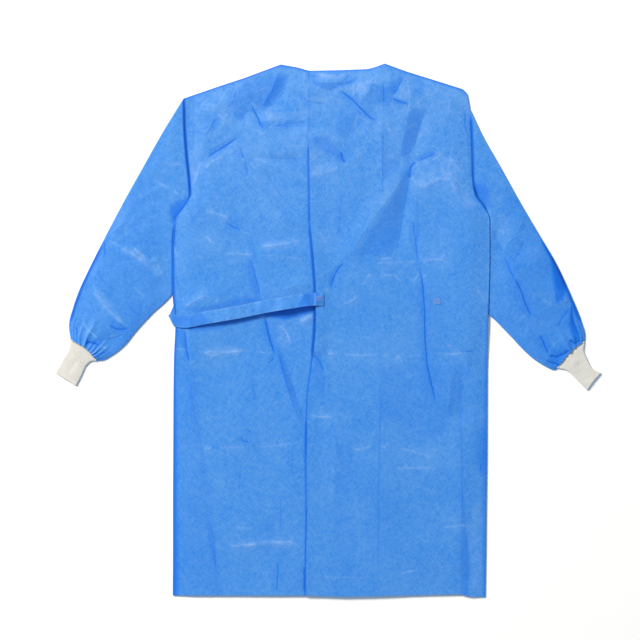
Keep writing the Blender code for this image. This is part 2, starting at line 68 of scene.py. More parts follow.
Section = namedtuple("Section", "y left_edge left_seam opening underlap right_seam right_edge")
BODY = [
    Section(524, -325, -319, -42, 128, 311, 317),
    Section(468, -324, -318, -43, 122, 317.5, 323.5),
    Section(395, -319, -313, -45, 120, 320.3, 326.3),
    Section(339, -313, -307, -44, 120, 322, 328),
    Section(304, -311, -305, -43, 120, 329.5, 335.5),
    Section(278, -327, -321, -43, 120, 347, 353),
    Section(250, -345, -339, -42, 120, 358, 364),
    Section(160, -350.5, -344, -34, 120, 359, 364),
    Section(80, -349.5, -333, -29, 120, 356, 362),
    Section(10, -343.5, -325, -30, 120, 350, 360),
    Section(-60, -346.5, -315, -36, 120, 325, 359),
    Section(-160, -348, -301, -48, 120, 312, 358.5),
    Section(-280, -348.5, -284, -50, 120, 306, 358),
    Section(-400, -349, -274, -49, 120, 309, 356.5),
    Section(-500, -349, -257, -51, 120, 317, 355.5),
    Section(-597, -349.5, -248, -52, 120, 318, 354),
]

NECK_LEFT = (-107, 600.5)
NECK_RIGHT = (128, 602.5)
TOP_EDGE = [
    (-325, 524), (-242, 552.5), (-190, 569.5), NECK_LEFT, (-70, 594), (-42, 586), (27, 587.5),
    (92, 590), (111, 596), NECK_RIGHT, (176, 585), (245, 563.5), (305, 544.5), (315, 534),
    (321, 499),
]
HEM_EDGE = [
    (-351, -598.5), (-52, -598.5), (40, -601.5), (200, -598), (298, -595.5), (320, -601.5),
    (355, -602.1),
]

# Broad folds, as in the solids: soft ridges, or hollows where the height is negative
# Each height and reach is the step nearest to one from a least-squares fit that was scaled and
# rounded first.
FAINT, MIDDLING, DEEP = 0.6, 1.0, 1.5
NARROW, BROAD = 25, 40
Fold = namedtuple("Fold", "start end height reach")
FOLDS = [
    Fold((-95, 575), (-145, 505), -DEEP, NARROW),
    Fold((-185, 550), (-195, 480), -MIDDLING, BROAD),
    Fold((-225, 555), (-255, 500), FAINT, NARROW),
    Fold((-210, 430), (-275, 385), -FAINT, NARROW),
    Fold((-200, 430), (-180, 345), FAINT, NARROW),
    Fold((-140, 500), (-60, 470), -MIDDLING, BROAD),
    Fold((-120, 415), (-50, 415), MIDDLING, NARROW),
    Fold((-35, 450), (25, 445), FAINT, BROAD),
    Fold((20, 545), (110, 475), -MIDDLING, NARROW),
    Fold((90, 560), (80, 515), MIDDLING, NARROW),
    Fold((183, 505), (165, 400), MIDDLING, NARROW),
    Fold((215, 495), (190, 400), -DEEP, BROAD),
    Fold((165, 350), (55, 180), DEEP, NARROW),
    Fold((175, 330), (155, 190), -DEEP, NARROW),
    Fold((205, 330), (285, 340), MIDDLING, BROAD),
    Fold((290, 305), (325, 285), MIDDLING, BROAD),
    Fold((-145, 200), (-55, 210), -FAINT, NARROW),
    Fold((-145, 175), (-40, 180), FAINT, NARROW),
    Fold((-180, 160), (-155, 75), -FAINT, NARROW),
    Fold((-325, 50), (-255, 80), DEEP, NARROW),
    Fold((-280, 235), (-200, 210), -MIDDLING, BROAD),
    Fold((-105, -50), (-60, -190), FAINT, BROAD),
    Fold((-25, -50), (-10, -160), FAINT, NARROW),
    Fold((300, -230), (305, -520), FAINT, NARROW),
    Fold((217, 90), (225, -90), FAINT, BROAD),
    Fold((15, -190), (10, -430), FAINT, BROAD),
    Fold((325, -400), (315, -590), -FAINT, NARROW),
]
FOLD_FADE = 45.0
# How much of a crease's mark is a soft pale band, a soft band of painted shade, a wide one,
# and a fine line
SOFT_MARK, SOFT_SHADE, HALO, FINE_MARK = 0.4, 0.15, 0.15, 0.8
SOFT_SHARE = 0.3  # the soft band is this share of the crease's own slope wide
SOFT_LEAST, SOFT_MOST = 2, 7  # and no less or more than this
HALO_REACH = 18  # the wide band's width
LINE_GAP = 7.0  # the fine line's looks are given out to this distance from it
LINE_FADES = 4  # and fade from this one on
END_FADE = 0.2  # a crease dies out over this share of its length at each end
END_WIDTH = 0.4  # and narrows there to this share of its width
CREST_FALL = 1.5  # the power by which a crease's height falls off
LOOKS_REACH = 36.0  # the least distance from a crease that is worked out
# The shaded bottom of a groove is painted shade
CREST_MARK = 0.04  # how much a crest of 1 mm is rubbed pale, and the bottom of a groove shaded
PINCH = 0.15  # how far a crest of 1 mm is pinched up on its line
# Painted shade along the back's top edge, and along its sides low down
EDGE_SHADE, SIDE_SHADE = 0.3, 0.15
PUFF = 2.25  # the air under the back's middle
SWELL_HEIGHT = 0.25  # and its slow waves, whose lengths run from the shortest to the longest
SWELL_SEED, SWELL_SHORTEST, SWELL_LONGEST, SWELL_WAVES = 11, 140, 320, 12
CRUMPLE_SEED, CRUMPLE_SIZE = 21, 26
CRUMPLE_LEAST, CRUMPLE_AT_CHEST = 0.04, 0.1  # height of the crumples, and what the chest adds
CHEST_FROM, CHEST_TO = -40, 260
EDGE_SHADE_REACH = 4.0
SIDE_SHADE_BELOW = 60
RIM_FADE = 12  # fine creases die out over this distance from any edge
LEAST_RELIEF = -1.0
# Painted light, paler towards the neck, and more fine crinkles there, rise between these heights
PAINTED_LIGHT_AND_CRINKLING_FROM, PAINTED_LIGHT_AND_CRINKLING_TO = 100, 560

# Painted light and shade on the flat facets between the creases, which stand in for how the light
# falls on them: how much paler or darker, how soft their border is, and their outline.
PaintedFacet = namedtuple("PaintedFacet", "tone soft outline")
PAINTED_FACETS = [
    # Left shoulder and shoulder blade
    PaintedFacet(-0.14, 14, [(-112, 580), (-92, 575), (-100, 540), (-140, 500), (-150, 502), (-125, 545)]),
    PaintedFacet(-0.07, 16, [(-195, 560), (-120, 578), (-128, 545), (-150, 507), (-185, 490), (-195, 470),
        (-235, 505)]),
    PaintedFacet(0.07, 7, [(-172, 512), (-142, 494), (-45, 495), (-60, 475), (-130, 472), (-157, 480)]),
    PaintedFacet(0.05, 9, [(-175, 510), (-160, 480), (-137, 428), (-180, 465), (-197, 472)]),
    PaintedFacet(-0.06, 9, [(-145, 465), (-60, 480), (-45, 460), (-130, 453)]),
    PaintedFacet(0.05, 9, [(-103, 433), (-62, 446), (-45, 430), (-47, 407), (-103, 415)]),
    PaintedFacet(0.1, 5, [(-208, 430), (-203, 410), (-242, 390), (-232, 407)]),
    PaintedFacet(0.06, 7, [(-314, 395), (-298, 407), (-282, 403), (-305, 303), (-314, 317)]),
    PaintedFacet(-0.04, 9, [(-280, 358), (-282, 295), (-295, 245), (-315, 232), (-290, 335)]),
    # Neck and right shoulder
    PaintedFacet(-0.1, 7, [(-36, 565), (5, 557), (66, 570), (62, 560), (5, 541), (-36, 555)]),
    PaintedFacet(0.08, 5, [(-23, 581), (16, 573), (50, 581), (40, 567), (-18, 571)]),
    PaintedFacet(0.09, 5, [(70, 570), (99, 557), (87, 530), (72, 520), (66, 538), (54, 525), (27, 545),
        (54, 555)]),
    PaintedFacet(-0.05, 12, [(99, 552), (124, 552), (124, 507), (84, 518), (87, 530)]),
    PaintedFacet(-0.09, 9, [(125, 543), (165, 579), (168, 568), (147, 532), (138, 502), (127, 508)]),
    PaintedFacet(0.09, 5, [(172, 575), (181, 543), (181, 520), (147, 525), (160, 543)]),
    PaintedFacet(-0.08, 5, [(147, 523), (181, 518), (181, 509), (150, 513)]),
    PaintedFacet(-0.1, 14, [(188, 502), (224, 503), (203, 445), (182, 390), (163, 392), (167, 440),
        (183, 493)]),
    PaintedFacet(-0.05, 9, [(181, 575), (219, 557), (217, 528), (195, 526)]),
    PaintedFacet(0.05, 5, [(224, 498), (237, 493), (225, 455), (192, 407), (207, 460)]),
    PaintedFacet(-0.1, 5, [(197, 392), (232, 403), (242, 398), (197, 382)]),
    PaintedFacet(0.08, 7, [(192, 373), (253, 403), (280, 389), (305, 358), (298, 335), (249, 340),
        (219, 321), (190, 335)]),
    PaintedFacet(-0.09, 16, [(188, 371), (176, 295), (160, 204), (140, 170), (63, 168), (95, 225),
        (145, 295), (167, 358)]),
    PaintedFacet(-0.06, 5, [(124, 389), (158, 385), (160, 358), (122, 340)]),
    PaintedFacet(0.07, 7, [(160, 349), (158, 321), (122, 281), (113, 290)]),
    PaintedFacet(-0.06, 16, [(27, 493), (77, 502), (72, 484), (30, 435), (9, 444)]),
    PaintedFacet(-0.09, 14, [(-36, 439), (5, 434), (23, 412), (38, 378), (-23, 407)]),
    PaintedFacet(0.1, 7, [(-41, 373), (0, 371), (-14, 353), (-36, 349)]),
    PaintedFacet(0.04, 9, [(77, 471), (122, 471), (122, 430), (68, 444)]),
    PaintedFacet(0.07, 5, [(312, 317), (339, 285), (321, 272), (303, 283)]),
    # Left half, down to the tie
    PaintedFacet(0.03, 7, [(-158, 190), (-120, 204), (-45, 208), (-43, 190), (-149, 177)]),
    PaintedFacet(-0.05, 9, [(-192, 231), (-172, 222), (-158, 154), (-176, 168)]),
    PaintedFacet(-0.07, 7, [(-192, 154), (-172, 154), (-151, 73), (-163, 68), (-179, 114)]),
    # Painted shade just above the tie
    PaintedFacet(-0.13, 12, [(-330, 46), (-255, 58), (-188, 78), (-149, 70), (-149, 62), (-289, 42)]),
    # Painted shadow under the tie, with a little painted light below it
    PaintedFacet(-0.18, 10, [(-325, 9), (-221, 26), (-150, 37), (-160, 24), (-275, 0), (-310, -2)]),
    PaintedFacet(-0.25, 9, [(-149, 50), (-27, 73), (-32, 41), (-97, 23), (-142, 32)]),
    PaintedFacet(0.08, 5, [(-63, 28), (-34, 39), (-50, 10), (-63, 10)]),
    PaintedFacet(-0.08, 7, [(-344, 1), (-321, 7), (-314, -72), (-330, -33)]),
    # Left half of the skirt
    PaintedFacet(-0.1, 7, [(-145, 28), (-138, 28), (-118, -58), (-131, -33)]),
    PaintedFacet(-0.08, 7, [(-120, -33), (-81, -124), (-50, -214), (-72, -169), (-115, -72)]),
    PaintedFacet(0.06, 7, [(-113, -13), (-102, 5), (-90, -4), (-81, -49), (-118, -33)]),
    PaintedFacet(-0.04, 10, [(-356, 4), (-324, 4), (-304, -200), (-284, -400), (-258, -610),
        (-356, -610)]),
    PaintedFacet(-0.06, 10, [(-320, -50), (-306, -50), (-262, -400), (-236, -610), (-258, -610),
        (-296, -280)]),
    # Right half of the skirt
    PaintedFacet(-0.06, 7, [(-36, -56), (-18, -49), (-5, -101), (-14, -146), (-27, -124)]),
    PaintedFacet(-0.06, 20, [(287, -94), (316, -79), (303, -158), (276, -170)]),
    PaintedFacet(-0.04, 14, [(119, -78), (290, -75), (284, -180), (245, -250), (118, -200)]),
    PaintedFacet(-0.03, 14, [(18, -260), (60, -250), (50, -400), (70, -500), (20, -500), (8, -380)]),
    PaintedFacet(0.04, 8, [(160, -270), (270, -262), (240, -285)]),
    PaintedFacet(0.05, 12, [(322, -390), (345, -390), (352, -600), (318, -610)]),
    PaintedFacet(-0.1, 8, [(303, -360), (316, -500), (317, -610), (300, -610), (298, -500)]),
    PaintedFacet(-0.04, 8, [(348, -225), (364, -225), (364, -384), (355, -366)]),
    PaintedFacet(-0.07, 6, [(338, -215), (347, -225), (352, -345), (342, -320)]),
]

# A crease is one of a few kinds. height is that of its crest, or of its bottom if it is negative.
# left and right are how far each side of it slopes, seen along it. mark is how much it has
# whitened the cloth, or how much shade is painted in it if it is negative.
Crease = namedtuple("Crease", "height left right mark")
CREASES = {
    "faint pale line": Crease(0, 8, 8, 0.13),
    "pale line": Crease(0, 8, 8, 0.2),
    "bright line": Crease(0.3, 8, 8, 0.25),
    "pale band": Crease(0.7, 20, 20, 0.18),
    "faint dark line": Crease(0, 8, 8, -0.12),
    "dark line": Crease(-0.3, 8, 8, -0.22),
    "deep line": Crease(-0.6, 14, 10, -0.38),
    "pit": Crease(-1.2, 10, 14, -0.55),
    "groove": Crease(-0.6, 14, 14, -0.18),
    "trough": Crease(-1.1, 26, 26, -0.05),
    "wide trough": Crease(-1.3, 38, 38, 0),
    "low ridge": Crease(0.5, 16, 16, 0.04),
    "ridge": Crease(1.0, 22, 22, 0),
    "dark ridge": Crease(1.0, 18, 12, -0.2),
    "wide ridge": Crease(1.2, 45, 45, 0),
}
# The lines of each kind, which relate to a fit.
BODY_CREASES = {
    "faint pale line": [
        [(-298, 174), (-284, 156)], [(-72, 388), (-58, 398)], [(-40, 386), (-24, 396), (-6, 402)],
        [(-96, 164), (-55, 162)], [(-150, 168), (-110, 170)], [(219, 489), (228, 477)],
        [(98, 148), (125, 153), (160, 155), (205, 155)], [(328, 52), (342, 30), (356, 10)],
        [(-245, -266), (-210, -263), (-180, -265)], [(-165, -264), (-130, -262), (-78, -254)],
        [(-299, -286), (-288, -279)], [(-228, -447), (-172, -446)], [(-345, -42), (-320, -44)],
        [(138, -311), (195, -311), (250, -310)], [(152, -266), (185, -270), (240, -288)],
        [(-20, -556), (40, -558), (105, -557)], [(228, -531), (255, -534), (285, -532)],
        [(180, -57), (210, -56)], [(-108, 369), (-136, 377)], [(10, 158), (24, 150)],
    ],
    "pale line": [
        [(-135, 454), (-126, 463), (-112, 472)], [(-170, 390), (-152, 384), (-136, 377)],
        [(-200, 226), (-186, 220), (-174, 214)], [(-22, 228), (-12, 208), (0, 192)],
        [(-25, 583), (-8, 576), (26, 573), (46, 582)], [(79, 566), (98, 560), (124, 556)],
        [(175, 574), (182, 548), (184, 512), (178, 478)], [(126, 473), (134, 461), (141, 447)],
        [(52, 527), (64, 542), (75, 565)], [(77, 100), (86, 116), (98, 131)],
        [(118, 160), (138, 163), (150, 162)], [(186, 108), (199, 117), (207, 132)],
        [(333, 105), (343, 82), (357, 58)], [(-285, 385), (-296, 355), (-303, 330)],
        [(-350, 200), (-342, 165), (-338, 110)], [(-116, 5), (-104, 8), (-92, -8), (-84, -32)],
        [(-240, -51), (-210, -46), (-180, -46)], [(-165, -46), (-145, -51), (-122, -49)],
        [(35, -55), (70, -56), (115, -55)], [(120, -60), (135, -57)], [(124, -77), (138, -84)],
        [(150, -76), (157, -58), (165, -66), (172, -88)], [(260, -55), (290, -53), (315, -51)],
        [(268, -38), (278, -32)], [(52, -270), (75, -267), (98, -263)], [(118, -262), (133, -265)],
        [(255, -445), (300, -441), (320, -442)], [(160, -549), (180, -545), (208, -541)],
        [(-255, 64), (-244, 71)], [(-176, 380), (-163, 364)],
    ],
    "bright line": [
        [(-250, 488), (-236, 479), (-224, 490)], [(-194, 389), (-187, 380)],
        [(-173, 516), (-160, 500)], [(24, 552), (32, 543)], [(102, 578), (120, 592)],
        [(196, 400), (208, 396)], [(186, 345), (195, 338), (200, 326)], [(36, 378), (42, 371)],
        [(-283, 275), (-262, 266), (-240, 260), (-222, 251)],
        [(-281, 213), (-268, 205), (-253, 191)],
        [(-235, 170), (-212, 174), (-196, 171), (-165, 171)],
        [(-150, 186), (-142, 191), (-125, 192)], [(33, 57), (50, 66), (72, 77)],
        [(117, 136), (132, 124), (148, 124)], [(148, 128), (156, 118), (167, 109)],
        [(208, 156), (235, 160), (254, 159), (266, 176)], [(213, 121), (224, 125)],
        [(-288, -46), (-262, -58), (-240, -52)], [(-314, -77), (-298, -68)],
        [(-284, -269), (-262, -265)], [(-42, -190), (-22, -195), (12, -196)],
        [(-2, -52), (14, -51)], [(-4, 94), (2, 89)],
        [(-228, -488), (-200, -486), (-160, -482)], [(-160, -478), (-120, -477), (-70, -479)],
    ],
    "pale band": [
        [(-280, 362), (-262, 380), (-235, 393)], [(-145, 190), (-115, 193), (-60, 200)],
        [(-328, 50), (-306, 64), (-282, 77), (-262, 76)], [(-66, 18), (-48, 26), (-32, 38)],
        [(-285, -48), (-230, -50), (-185, -48)], [(-200, -486), (-130, -482), (-65, -484)],
        [(-42, 352), (-18, 353), (8, 362), (32, 372)],
        [(188, 345), (212, 326), (250, 342), (276, 342), (298, 290)],
    ],
    "faint dark line": [
        [(-304, 530), (-303, 460), (-305, 395)], [(-300, 505), (-280, 520), (-262, 538)],
        [(-174, 378), (-163, 366)], [(-125, 460), (-105, 464), (-88, 458)],
        [(78, 462), (95, 463), (116, 469)], [(125, 471), (124, 400), (123, 290)],
        [(30, 320), (27, 260), (24, 200)], [(200, 320), (203, 250), (203, 190)],
        [(-172, -122), (-165, -160)], [(-80, -256), (-82, -330)], [(-106, -370), (-108, -450)],
        [(-196, -300), (-202, -370)], [(-8, -98), (-12, -150)],
        [(14, -205), (18, -245), (24, -275)],
        [(316, -60), (318, -105)], [(-270, -420), (-258, -470), (-253, -560)],
        [(-344, 177), (-339, 91)], [(300, -70), (300, -200), (303, -330), (302, -450)],
        [(119, -62), (119, -160), (115, -300), (113, -450), (113, -590)],
        [(-311, -110), (-306, -165), (-298, -215)],
    ],
    "dark line": [
        [(-244, 483), (-256, 474), (-266, 455), (-283, 432)], [(34, 563), (50, 580)],
        [(125, 556), (126, 530), (125, 508)], [(142, 525), (162, 517), (183, 509)],
        [(100, 574), (112, 584), (123, 596)], [(200, 380), (222, 390), (245, 398)],
        [(311, 500), (309, 462), (315, 440)], [(-232, 245), (-216, 234), (-196, 227)],
        [(-121, -60), (-130, -68), (-137, -76)], [(-324, 0), (-320, -40), (-312, -77)],
        [(-197, -238), (-192, -250), (-176, -253)], [(-112, -520), (-114, -560), (-116, -594)],
        [(-54, -530), (-55, -594)], [(300, -50), (320, -47), (332, -48)],
    ],
    "deep line": [
        [(-203, 436), (-226, 420), (-250, 406), (-276, 388)],
        [(-176, 508), (-164, 492), (-152, 464), (-141, 453)],
        [(20, 546), (48, 527), (72, 503), (96, 478), (117, 471)],
        [(28, 405), (33, 388), (40, 375)], [(183, 340), (186, 368), (193, 377), (203, 379)],
        [(38, 153), (24, 142), (16, 127), (9, 107), (3, 91)],
        [(-144, 30), (-137, 3), (-129, -28), (-121, -56)],
        [(204, 160), (212, 120), (217, 60), (219, -20), (224, -80), (235, -130), (248, -185)],
    ],
    "groove": [
        [(-200, 420), (-194, 398), (-186, 378), (-182, 345)],
        [(-178, 166), (-168, 140), (-160, 108), (-153, 68)],
        [(190, 250), (197, 210), (204, 150)], [(172, 572), (158, 548), (144, 528)],
        [(-34, -52), (-18, -72), (-8, -95)], [(339, -215), (341, -265), (346, -330)],
    ],
    "trough": [
        [(-165, 396), (-130, 388), (-90, 386), (-48, 388)], [(-175, 500), (-188, 488), (-199, 470)],
        [(-5, 541), (22, 550), (60, 564)], [(220, 500), (207, 462), (197, 420), (191, 396)],
        [(-150, 370), (-105, 305), (-65, 255)], [(-86, 548), (-68, 530), (-44, 516), (5, 508)],
        [(-100, 465), (-45, 470)], [(186, 372), (180, 325), (170, 260), (157, 180)],
        [(77, 477), (64, 455), (36, 430)], [(-115, -30), (-88, -97), (-64, -175)],
    ],
    "wide trough": [
        [(-304, 525), (-303, 400)], [(-90, 570), (-100, 535), (-125, 508), (-142, 500)],
        [(314, -56), (300, -90), (294, -180), (301, -225)], [(325, -395), (323, -460), (316, -590)],
    ],
    "low ridge": [
        [(-228, 480), (-243, 455), (-250, 430)], [(-289, 412), (-273, 450), (-256, 478)],
        [(-149, 403), (-108, 397), (-70, 403)], [(250, 440), (276, 406), (300, 373), (314, 355)],
        [(16, -160), (18, -250), (8, -400)], [(40, 376), (63, 389), (90, 412)],
    ],
    "ridge": [
        [(-198, 560), (-188, 542), (-176, 522)], [(-158, 473), (-136, 473), (-111, 491)],
        [(88, 564), (95, 550), (88, 534), (73, 522)],
        [(-40, 432), (-12, 446), (12, 436), (30, 412)],
        [(-102, 90), (-75, 102), (-35, 105)], [(296, 345), (312, 343), (326, 316)],
        [(-35, 560), (5, 560), (35, 562), (66, 568)],
    ],
    "dark ridge": [
        [(-112, 580), (-126, 543), (-148, 505)],
        [(-118, -25), (-104, -85), (-88, -142), (-66, -198), (-53, -215)],
    ],
    "wide ridge": [
        [(186, 372), (147, 312), (90, 238), (45, 163)],
        [(183, 505), (177, 470), (168, 430), (163, 388)], [(120, 505), (120, 407), (122, 335)],
        [(313, 482), (312, 430), (319, 372), (324, 328)], [(287, -67), (276, -124), (269, -198)],
    ],
}

SLEEVE_CREASES = {
    "left": {
        "faint pale line": [
            [(-430, 310), (-418, 298)], [(-440, 100), (-425, 85), (-410, 70)],
            [(-420, 250), (-409, 236), (-397, 225)], [(-478, 228), (-462, 230), (-452, 208)],
        ],
        "pale line": [
            [(-372, 376), (-345, 375), (-322, 372)], [(-352, 318), (-336, 305), (-322, 294)],
            [(-498, 205), (-480, 195), (-450, 175)], [(-400, 342), (-380, 333), (-355, 318)],
            [(-495, -15), (-470, -8)],
        ],
        "bright line": [
            [(-440, 188), (-428, 176), (-412, 164)], [(-554, 18), (-538, -2), (-518, -20)],
            [(-514, -35), (-498, -42)],
        ],
        "pale band": [
            [(-470, 185), (-435, 168), (-402, 148)], [(-396, 168), (-384, 148), (-374, 120)],
            [(-530, 88), (-500, 50), (-470, 22), (-452, 5)],
        ],
        "faint dark line": [
            [(-450, 60), (-440, 45), (-425, 30)], [(-345, 322), (-330, 305)],
            [(-522, 136), (-502, 102)],
        ],
        "dark line": [
            [(-506, 205), (-503, 165)], [(-528, -56), (-512, -52), (-500, -48)],
            [(-570, 8), (-564, -10)],
        ],
        "deep line": [[(-495, 12), (-475, 2), (-450, 3)]],
        "pit": [[(-548, -30), (-533, -27), (-516, -33)]],
        "trough": [[(-332, 288), (-341, 267), (-353, 249)],
            [(-520, -24), (-497, -22), (-460, -10)]],
        "ridge": [[(-498, 212), (-478, 230), (-458, 244)]],
    },
    "right": {
        "faint pale line": [
            [(385, 228), (400, 218)], [(425, 18), (446, 35)], [(380, 300), (396, 292)],
            [(395, 185), (402, 196)],
        ],
        "pale line": [[(503, -38), (515, -28)], [(481, 68), (506, 59)]],
        "faint dark line": [
            [(366, 235), (378, 205), (395, 175)], [(344, 358), (357, 340), (353, 317)],
        ],
        "groove": [[(398, 165), (410, 140), (422, 112)], [(545, 48), (530, 30), (516, 4)]],
        "deep line": [
            [(420, 122), (434, 92), (448, 55), (461, 24)],
            [(496, 175), (508, 160), (524, 125), (540, 90)],
            [(477, -8), (486, -27), (498, -55)], [(490, -68), (508, -74), (526, -77)],
            [(549, 60), (552, 20), (567, -14)],
        ],
        "pit": [[(545, -20), (556, -30), (570, -21)],
            [(497, -56), (515, -60), (535, -52), (548, -43)]],
        "trough": [[(445, 205), (435, 180), (415, 150)]],
        "ridge": [[(508, 145), (513, 105), (524, 68)], [(522, 68), (536, 76), (542, 60)]],
        "wide ridge": [[(442, 270), (437, 242), (420, 212), (398, 188)]],
    },
}

# Painted light and shade on each sleeve; the dark patches by the armholes are painted shadow
SLEEVE_PAINTED_FACETS = {
    "left": [
        PaintedFacet(-0.2, 12, [(-321, 305), (-314, 299), (-344, 245), (-353, 245), (-357, 276),
            (-339, 294)]),
        PaintedFacet(0.1, 8, [(-533, 102), (-508, 84), (-479, 46), (-454, 10), (-475, 19), (-506, 46),
            (-524, 73)]),
        PaintedFacet(0.07, 8, [(-470, 193), (-425, 181), (-398, 154), (-373, 127), (-384, 120),
            (-411, 145), (-447, 170)]),
        PaintedFacet(-0.08, 10, [(-502, 215), (-470, 222), (-458, 244), (-480, 245)]),
    ],
    "right": [
        PaintedFacet(-0.18, 20, [(330, 331), (346, 333), (362, 317), (362, 276), (353, 279), (337, 292),
            (323, 315)]),
        PaintedFacet(-0.2, 9, [(504, 163), (518, 154), (531, 125), (538, 95), (529, 68), (515, 62),
            (511, 91), (506, 125)]),
        PaintedFacet(-0.2, 8, [(549, 46), (558, 12), (570, -18), (556, -22), (545, 12)]),
        PaintedFacet(0.06, 8, [(384, 268), (418, 238), (420, 215), (395, 188), (380, 200)]),
    ],
}

Sleeve = namedtuple("Sleeve", "tucked outer wrist inner")
SLEEVES = {
    "left": Sleeve(
        tucked=[(-345, 250), (-338, 200), (-332, 150)],
        outer=[(-371, 449), (-414, 373), (-457, 296), (-505, 205), (-544, 127), (-561, 90),
               (-575, 50), (-584, 12)],
        wrist=[(-580, -22), (-550, -39), (-524, -67.5)],
        inner=[(-340, 112), (-353.5, 82), (-400, 36), (-434, -1), (-460, -33), (-489, -56),
               (-512, -67)],
    ),
    "right": Sleeve(
        tucked=[(364, 250), (352, 200), (343, 140)],
        outer=[(347, 442), (390, 366), (432.5, 289.5), (475.5, 216.5), (515, 149.5), (546, 83),
               (572.5, 16.5), (579.5, -12)],
        wrist=[(578.5, -26), (552, -44), (518.7, -84.5)],
        inner=[(351, 85), (361, 42), (381, 21), (410, -9), (444, -45), (467, -65), (496, -82.5),
               (510, -88)],
    ),
}
# In square metres, and taken from the sleeves' own meshes, so they are no test of the cut
TUCKED_SHARE = 0.27  # of the tube's end, from its inner edge
# Painted shade on the sleeves: on the outer edge where it rolls under, and over the whole sleeve
SLEEVE_ROLL_SHADE = 0.55  # how dark the outer edge is where it rolls under
SLEEVE_ROLL_WIDTH = 5.0
SLEEVE_SHADE = 0.05  # and the whole sleeve, from its middle on
SLEEVE_LOFT = 3.0
LOFT_STARTS = 0.2
LOFT_FULL = 0.5
SLEEVE_ACROSS = 96  # lines along a sleeve
SLEEVE_LENGTH = 640  # about how long a sleeve is, for the count of its rings
RINGS_SHIFT = 0.012
SLEEVE_BULGE = 0.7  # the power that flattens the crown of a sleeve's section
Waviness = namedtuple("Waviness", "height seed")
SLEEVE_SWELLS = {"left": Waviness(0.4, 31), "right": Waviness(0.4, 32)}
SLEEVE_CRUMPLES = {"left": Waviness(0.35, 41), "right": Waviness(0.35, 42)}
SLEEVE_SWELL_SHORTEST, SLEEVE_SWELL_LONGEST, SLEEVE_SWELL_WAVES = 90, 200, 10
SLEEVE_CRUMPLE_SIZE = 34
SLEEVE_RISE = 0.8  # how far the folds stand over the sleeve's flat form
SLEEVE_EDGE = 0.12  # share of the width, and of the length, over which they die out
SLEEVE_START = 0.02
TUCKED_CLEAR, TUCKED_WITHIN = 0.25, 3
LEAST_SLEEVE = 1.5  # the least height of a sleeve's upper skin
GATHER_SEED = 51
# The share of the painted light towards the neck, and of the crinkles, that the sleeves get
SLEEVE_PAINTED_LIGHT_AND_CRINKLING = 0.3
# The rings by the armhole whose lines are spread evenly, and the rounds that this takes
EVENED_RINGS, EVENED_ROUNDS = 110, 2400
GATHERS = 9  # pleats across the wrist
GATHER_HEIGHT = 3.4
GATHERS_REACH = 0.2

ARMHOLE_ENDS = 285.0
GROOVES = {"left": (0.9, 6.0), "right": (2.2, 3.0)}  # the armhole groove's height and reach
# How dark the shade painted in the groove between body and sleeve is, by y: (y, darkness).
ARMHOLE_SHADES = {
    "left": [(524, 0.5), (500, 1.0), (310, 1.0), (300, 0.3), (240, 0.25), (225, 0.6), (60, 0.6),
             (30, 0.15)],
    "right": [(499, 0), (484, 0.1), (468, 0.5), (370, 0.6), (330, 0.4), (315, 0.8), (280, 0.6),
              (262, 0), (30, 0)],
}
# How far the right half's free edge stands off, and how dark the shade painted beside it is,
# by y: (y, share).
OPENING_GAPES = [
    (600, 0.2), (560, 0.05), (500, 0.1), (400, 0.2), (300, 0.2), (240, 0.3), (220, 0.7),
    (130, 1), (-10, 1), (-45, 0.9), (-60, 0.1), (-200, 0.05), (-215, 0.4), (-380, 0.3),
    (-450, 0.15), (-597, 0.15),
]

Cuff = namedtuple("Cuff", "outer end inner")
CUFFS = {
    "left": Cuff(
        outer=[(-584, -42), (-598, -68)],
        end=[(-614.2, -96.5), (-592, -110), (-570, -124)],
        inner=[(-533, -68), (-547, -78), (-558, -101)],
    ),
    "right": Cuff(
        outer=[(576, -44), (583, -64), (597, -88)],
        end=[(614.5, -97), (600, -113), (585.6, -133)],
        inner=[(534, -87), (544, -92), (565, -113)],
    ),
}
CUFF_CREASES = {
    "left": {"groove": [[(-566, -64), (-588, -100)]]},
    "right": {
        "trough": [[(560, -70), (592, -118)]],
        "low ridge": [[(552, -62), (575, -92)], [(574, -84), (600, -112)]],
    },
}
CUFF_LOFT = 0.9
CUFF_RINGS, CUFF_ACROSS = 48, 181
CUFF_BULGE = 0.6
CUFF_SEAM_DIP, CUFF_SEAM_REACH = 0.7, 0.05  # lower at the wrist seam, and over this share of it
CUFF_HEM_RISE, CUFF_HEM_REACH = 0.3, 0.03  # and higher at the open end
RIB_PITCH = 2.4
RIB_HEIGHT = 0.15
# Spacings in the materials, in metres
BOND_PITCH, KNURL_PITCH, WALE_PITCH, COURSE_PITCH = 0.0026, 0.0028, 0.0012, 0.0014

TIE_WIDTH = 28.5
TIE_CLEAR = 0.35
TIE_STEPS, TIE_ACROSS, TIE_HIDDEN_STEPS = 150, 15, 20
TIE_SLANTS = 0.9  # from this share of its length on it slants to the line of its fold
TIE_LEVEL_REACH, TIE_STAND_REACH = 4, 5  # steps on either side that are averaged
TIE_WAVES, TIE_CROWN = 0.35, 0.2  # heights of its ripples and of its crown
TIE_WAVE_SEED, TIE_WAVE_SHORTEST, TIE_WAVE_LONGEST, TIE_WAVE_COUNT = 61, 18, 60, 8
# The tie is paler along its two edges, and painted shade lies over all of it
TIE_EDGE_TONE, TIE_EDGE_REACH, TIE_TONE = 0.12, 0.12, -0.04
TIE_WELD_STEPS = 40  # the weld follows so many steps of the tie
TIE_LINE = [
    (-10, 70), (-30, 70), (-86, 63), (-149, 52), (-208, 40), (-273, 29), (-334, 19),
]
TIE_FOLD_UPPER = (-357.5, 36)
TIE_FOLD_LOWER = (-344, 9)
TIE_HIDDEN_LENGTH = 80.0
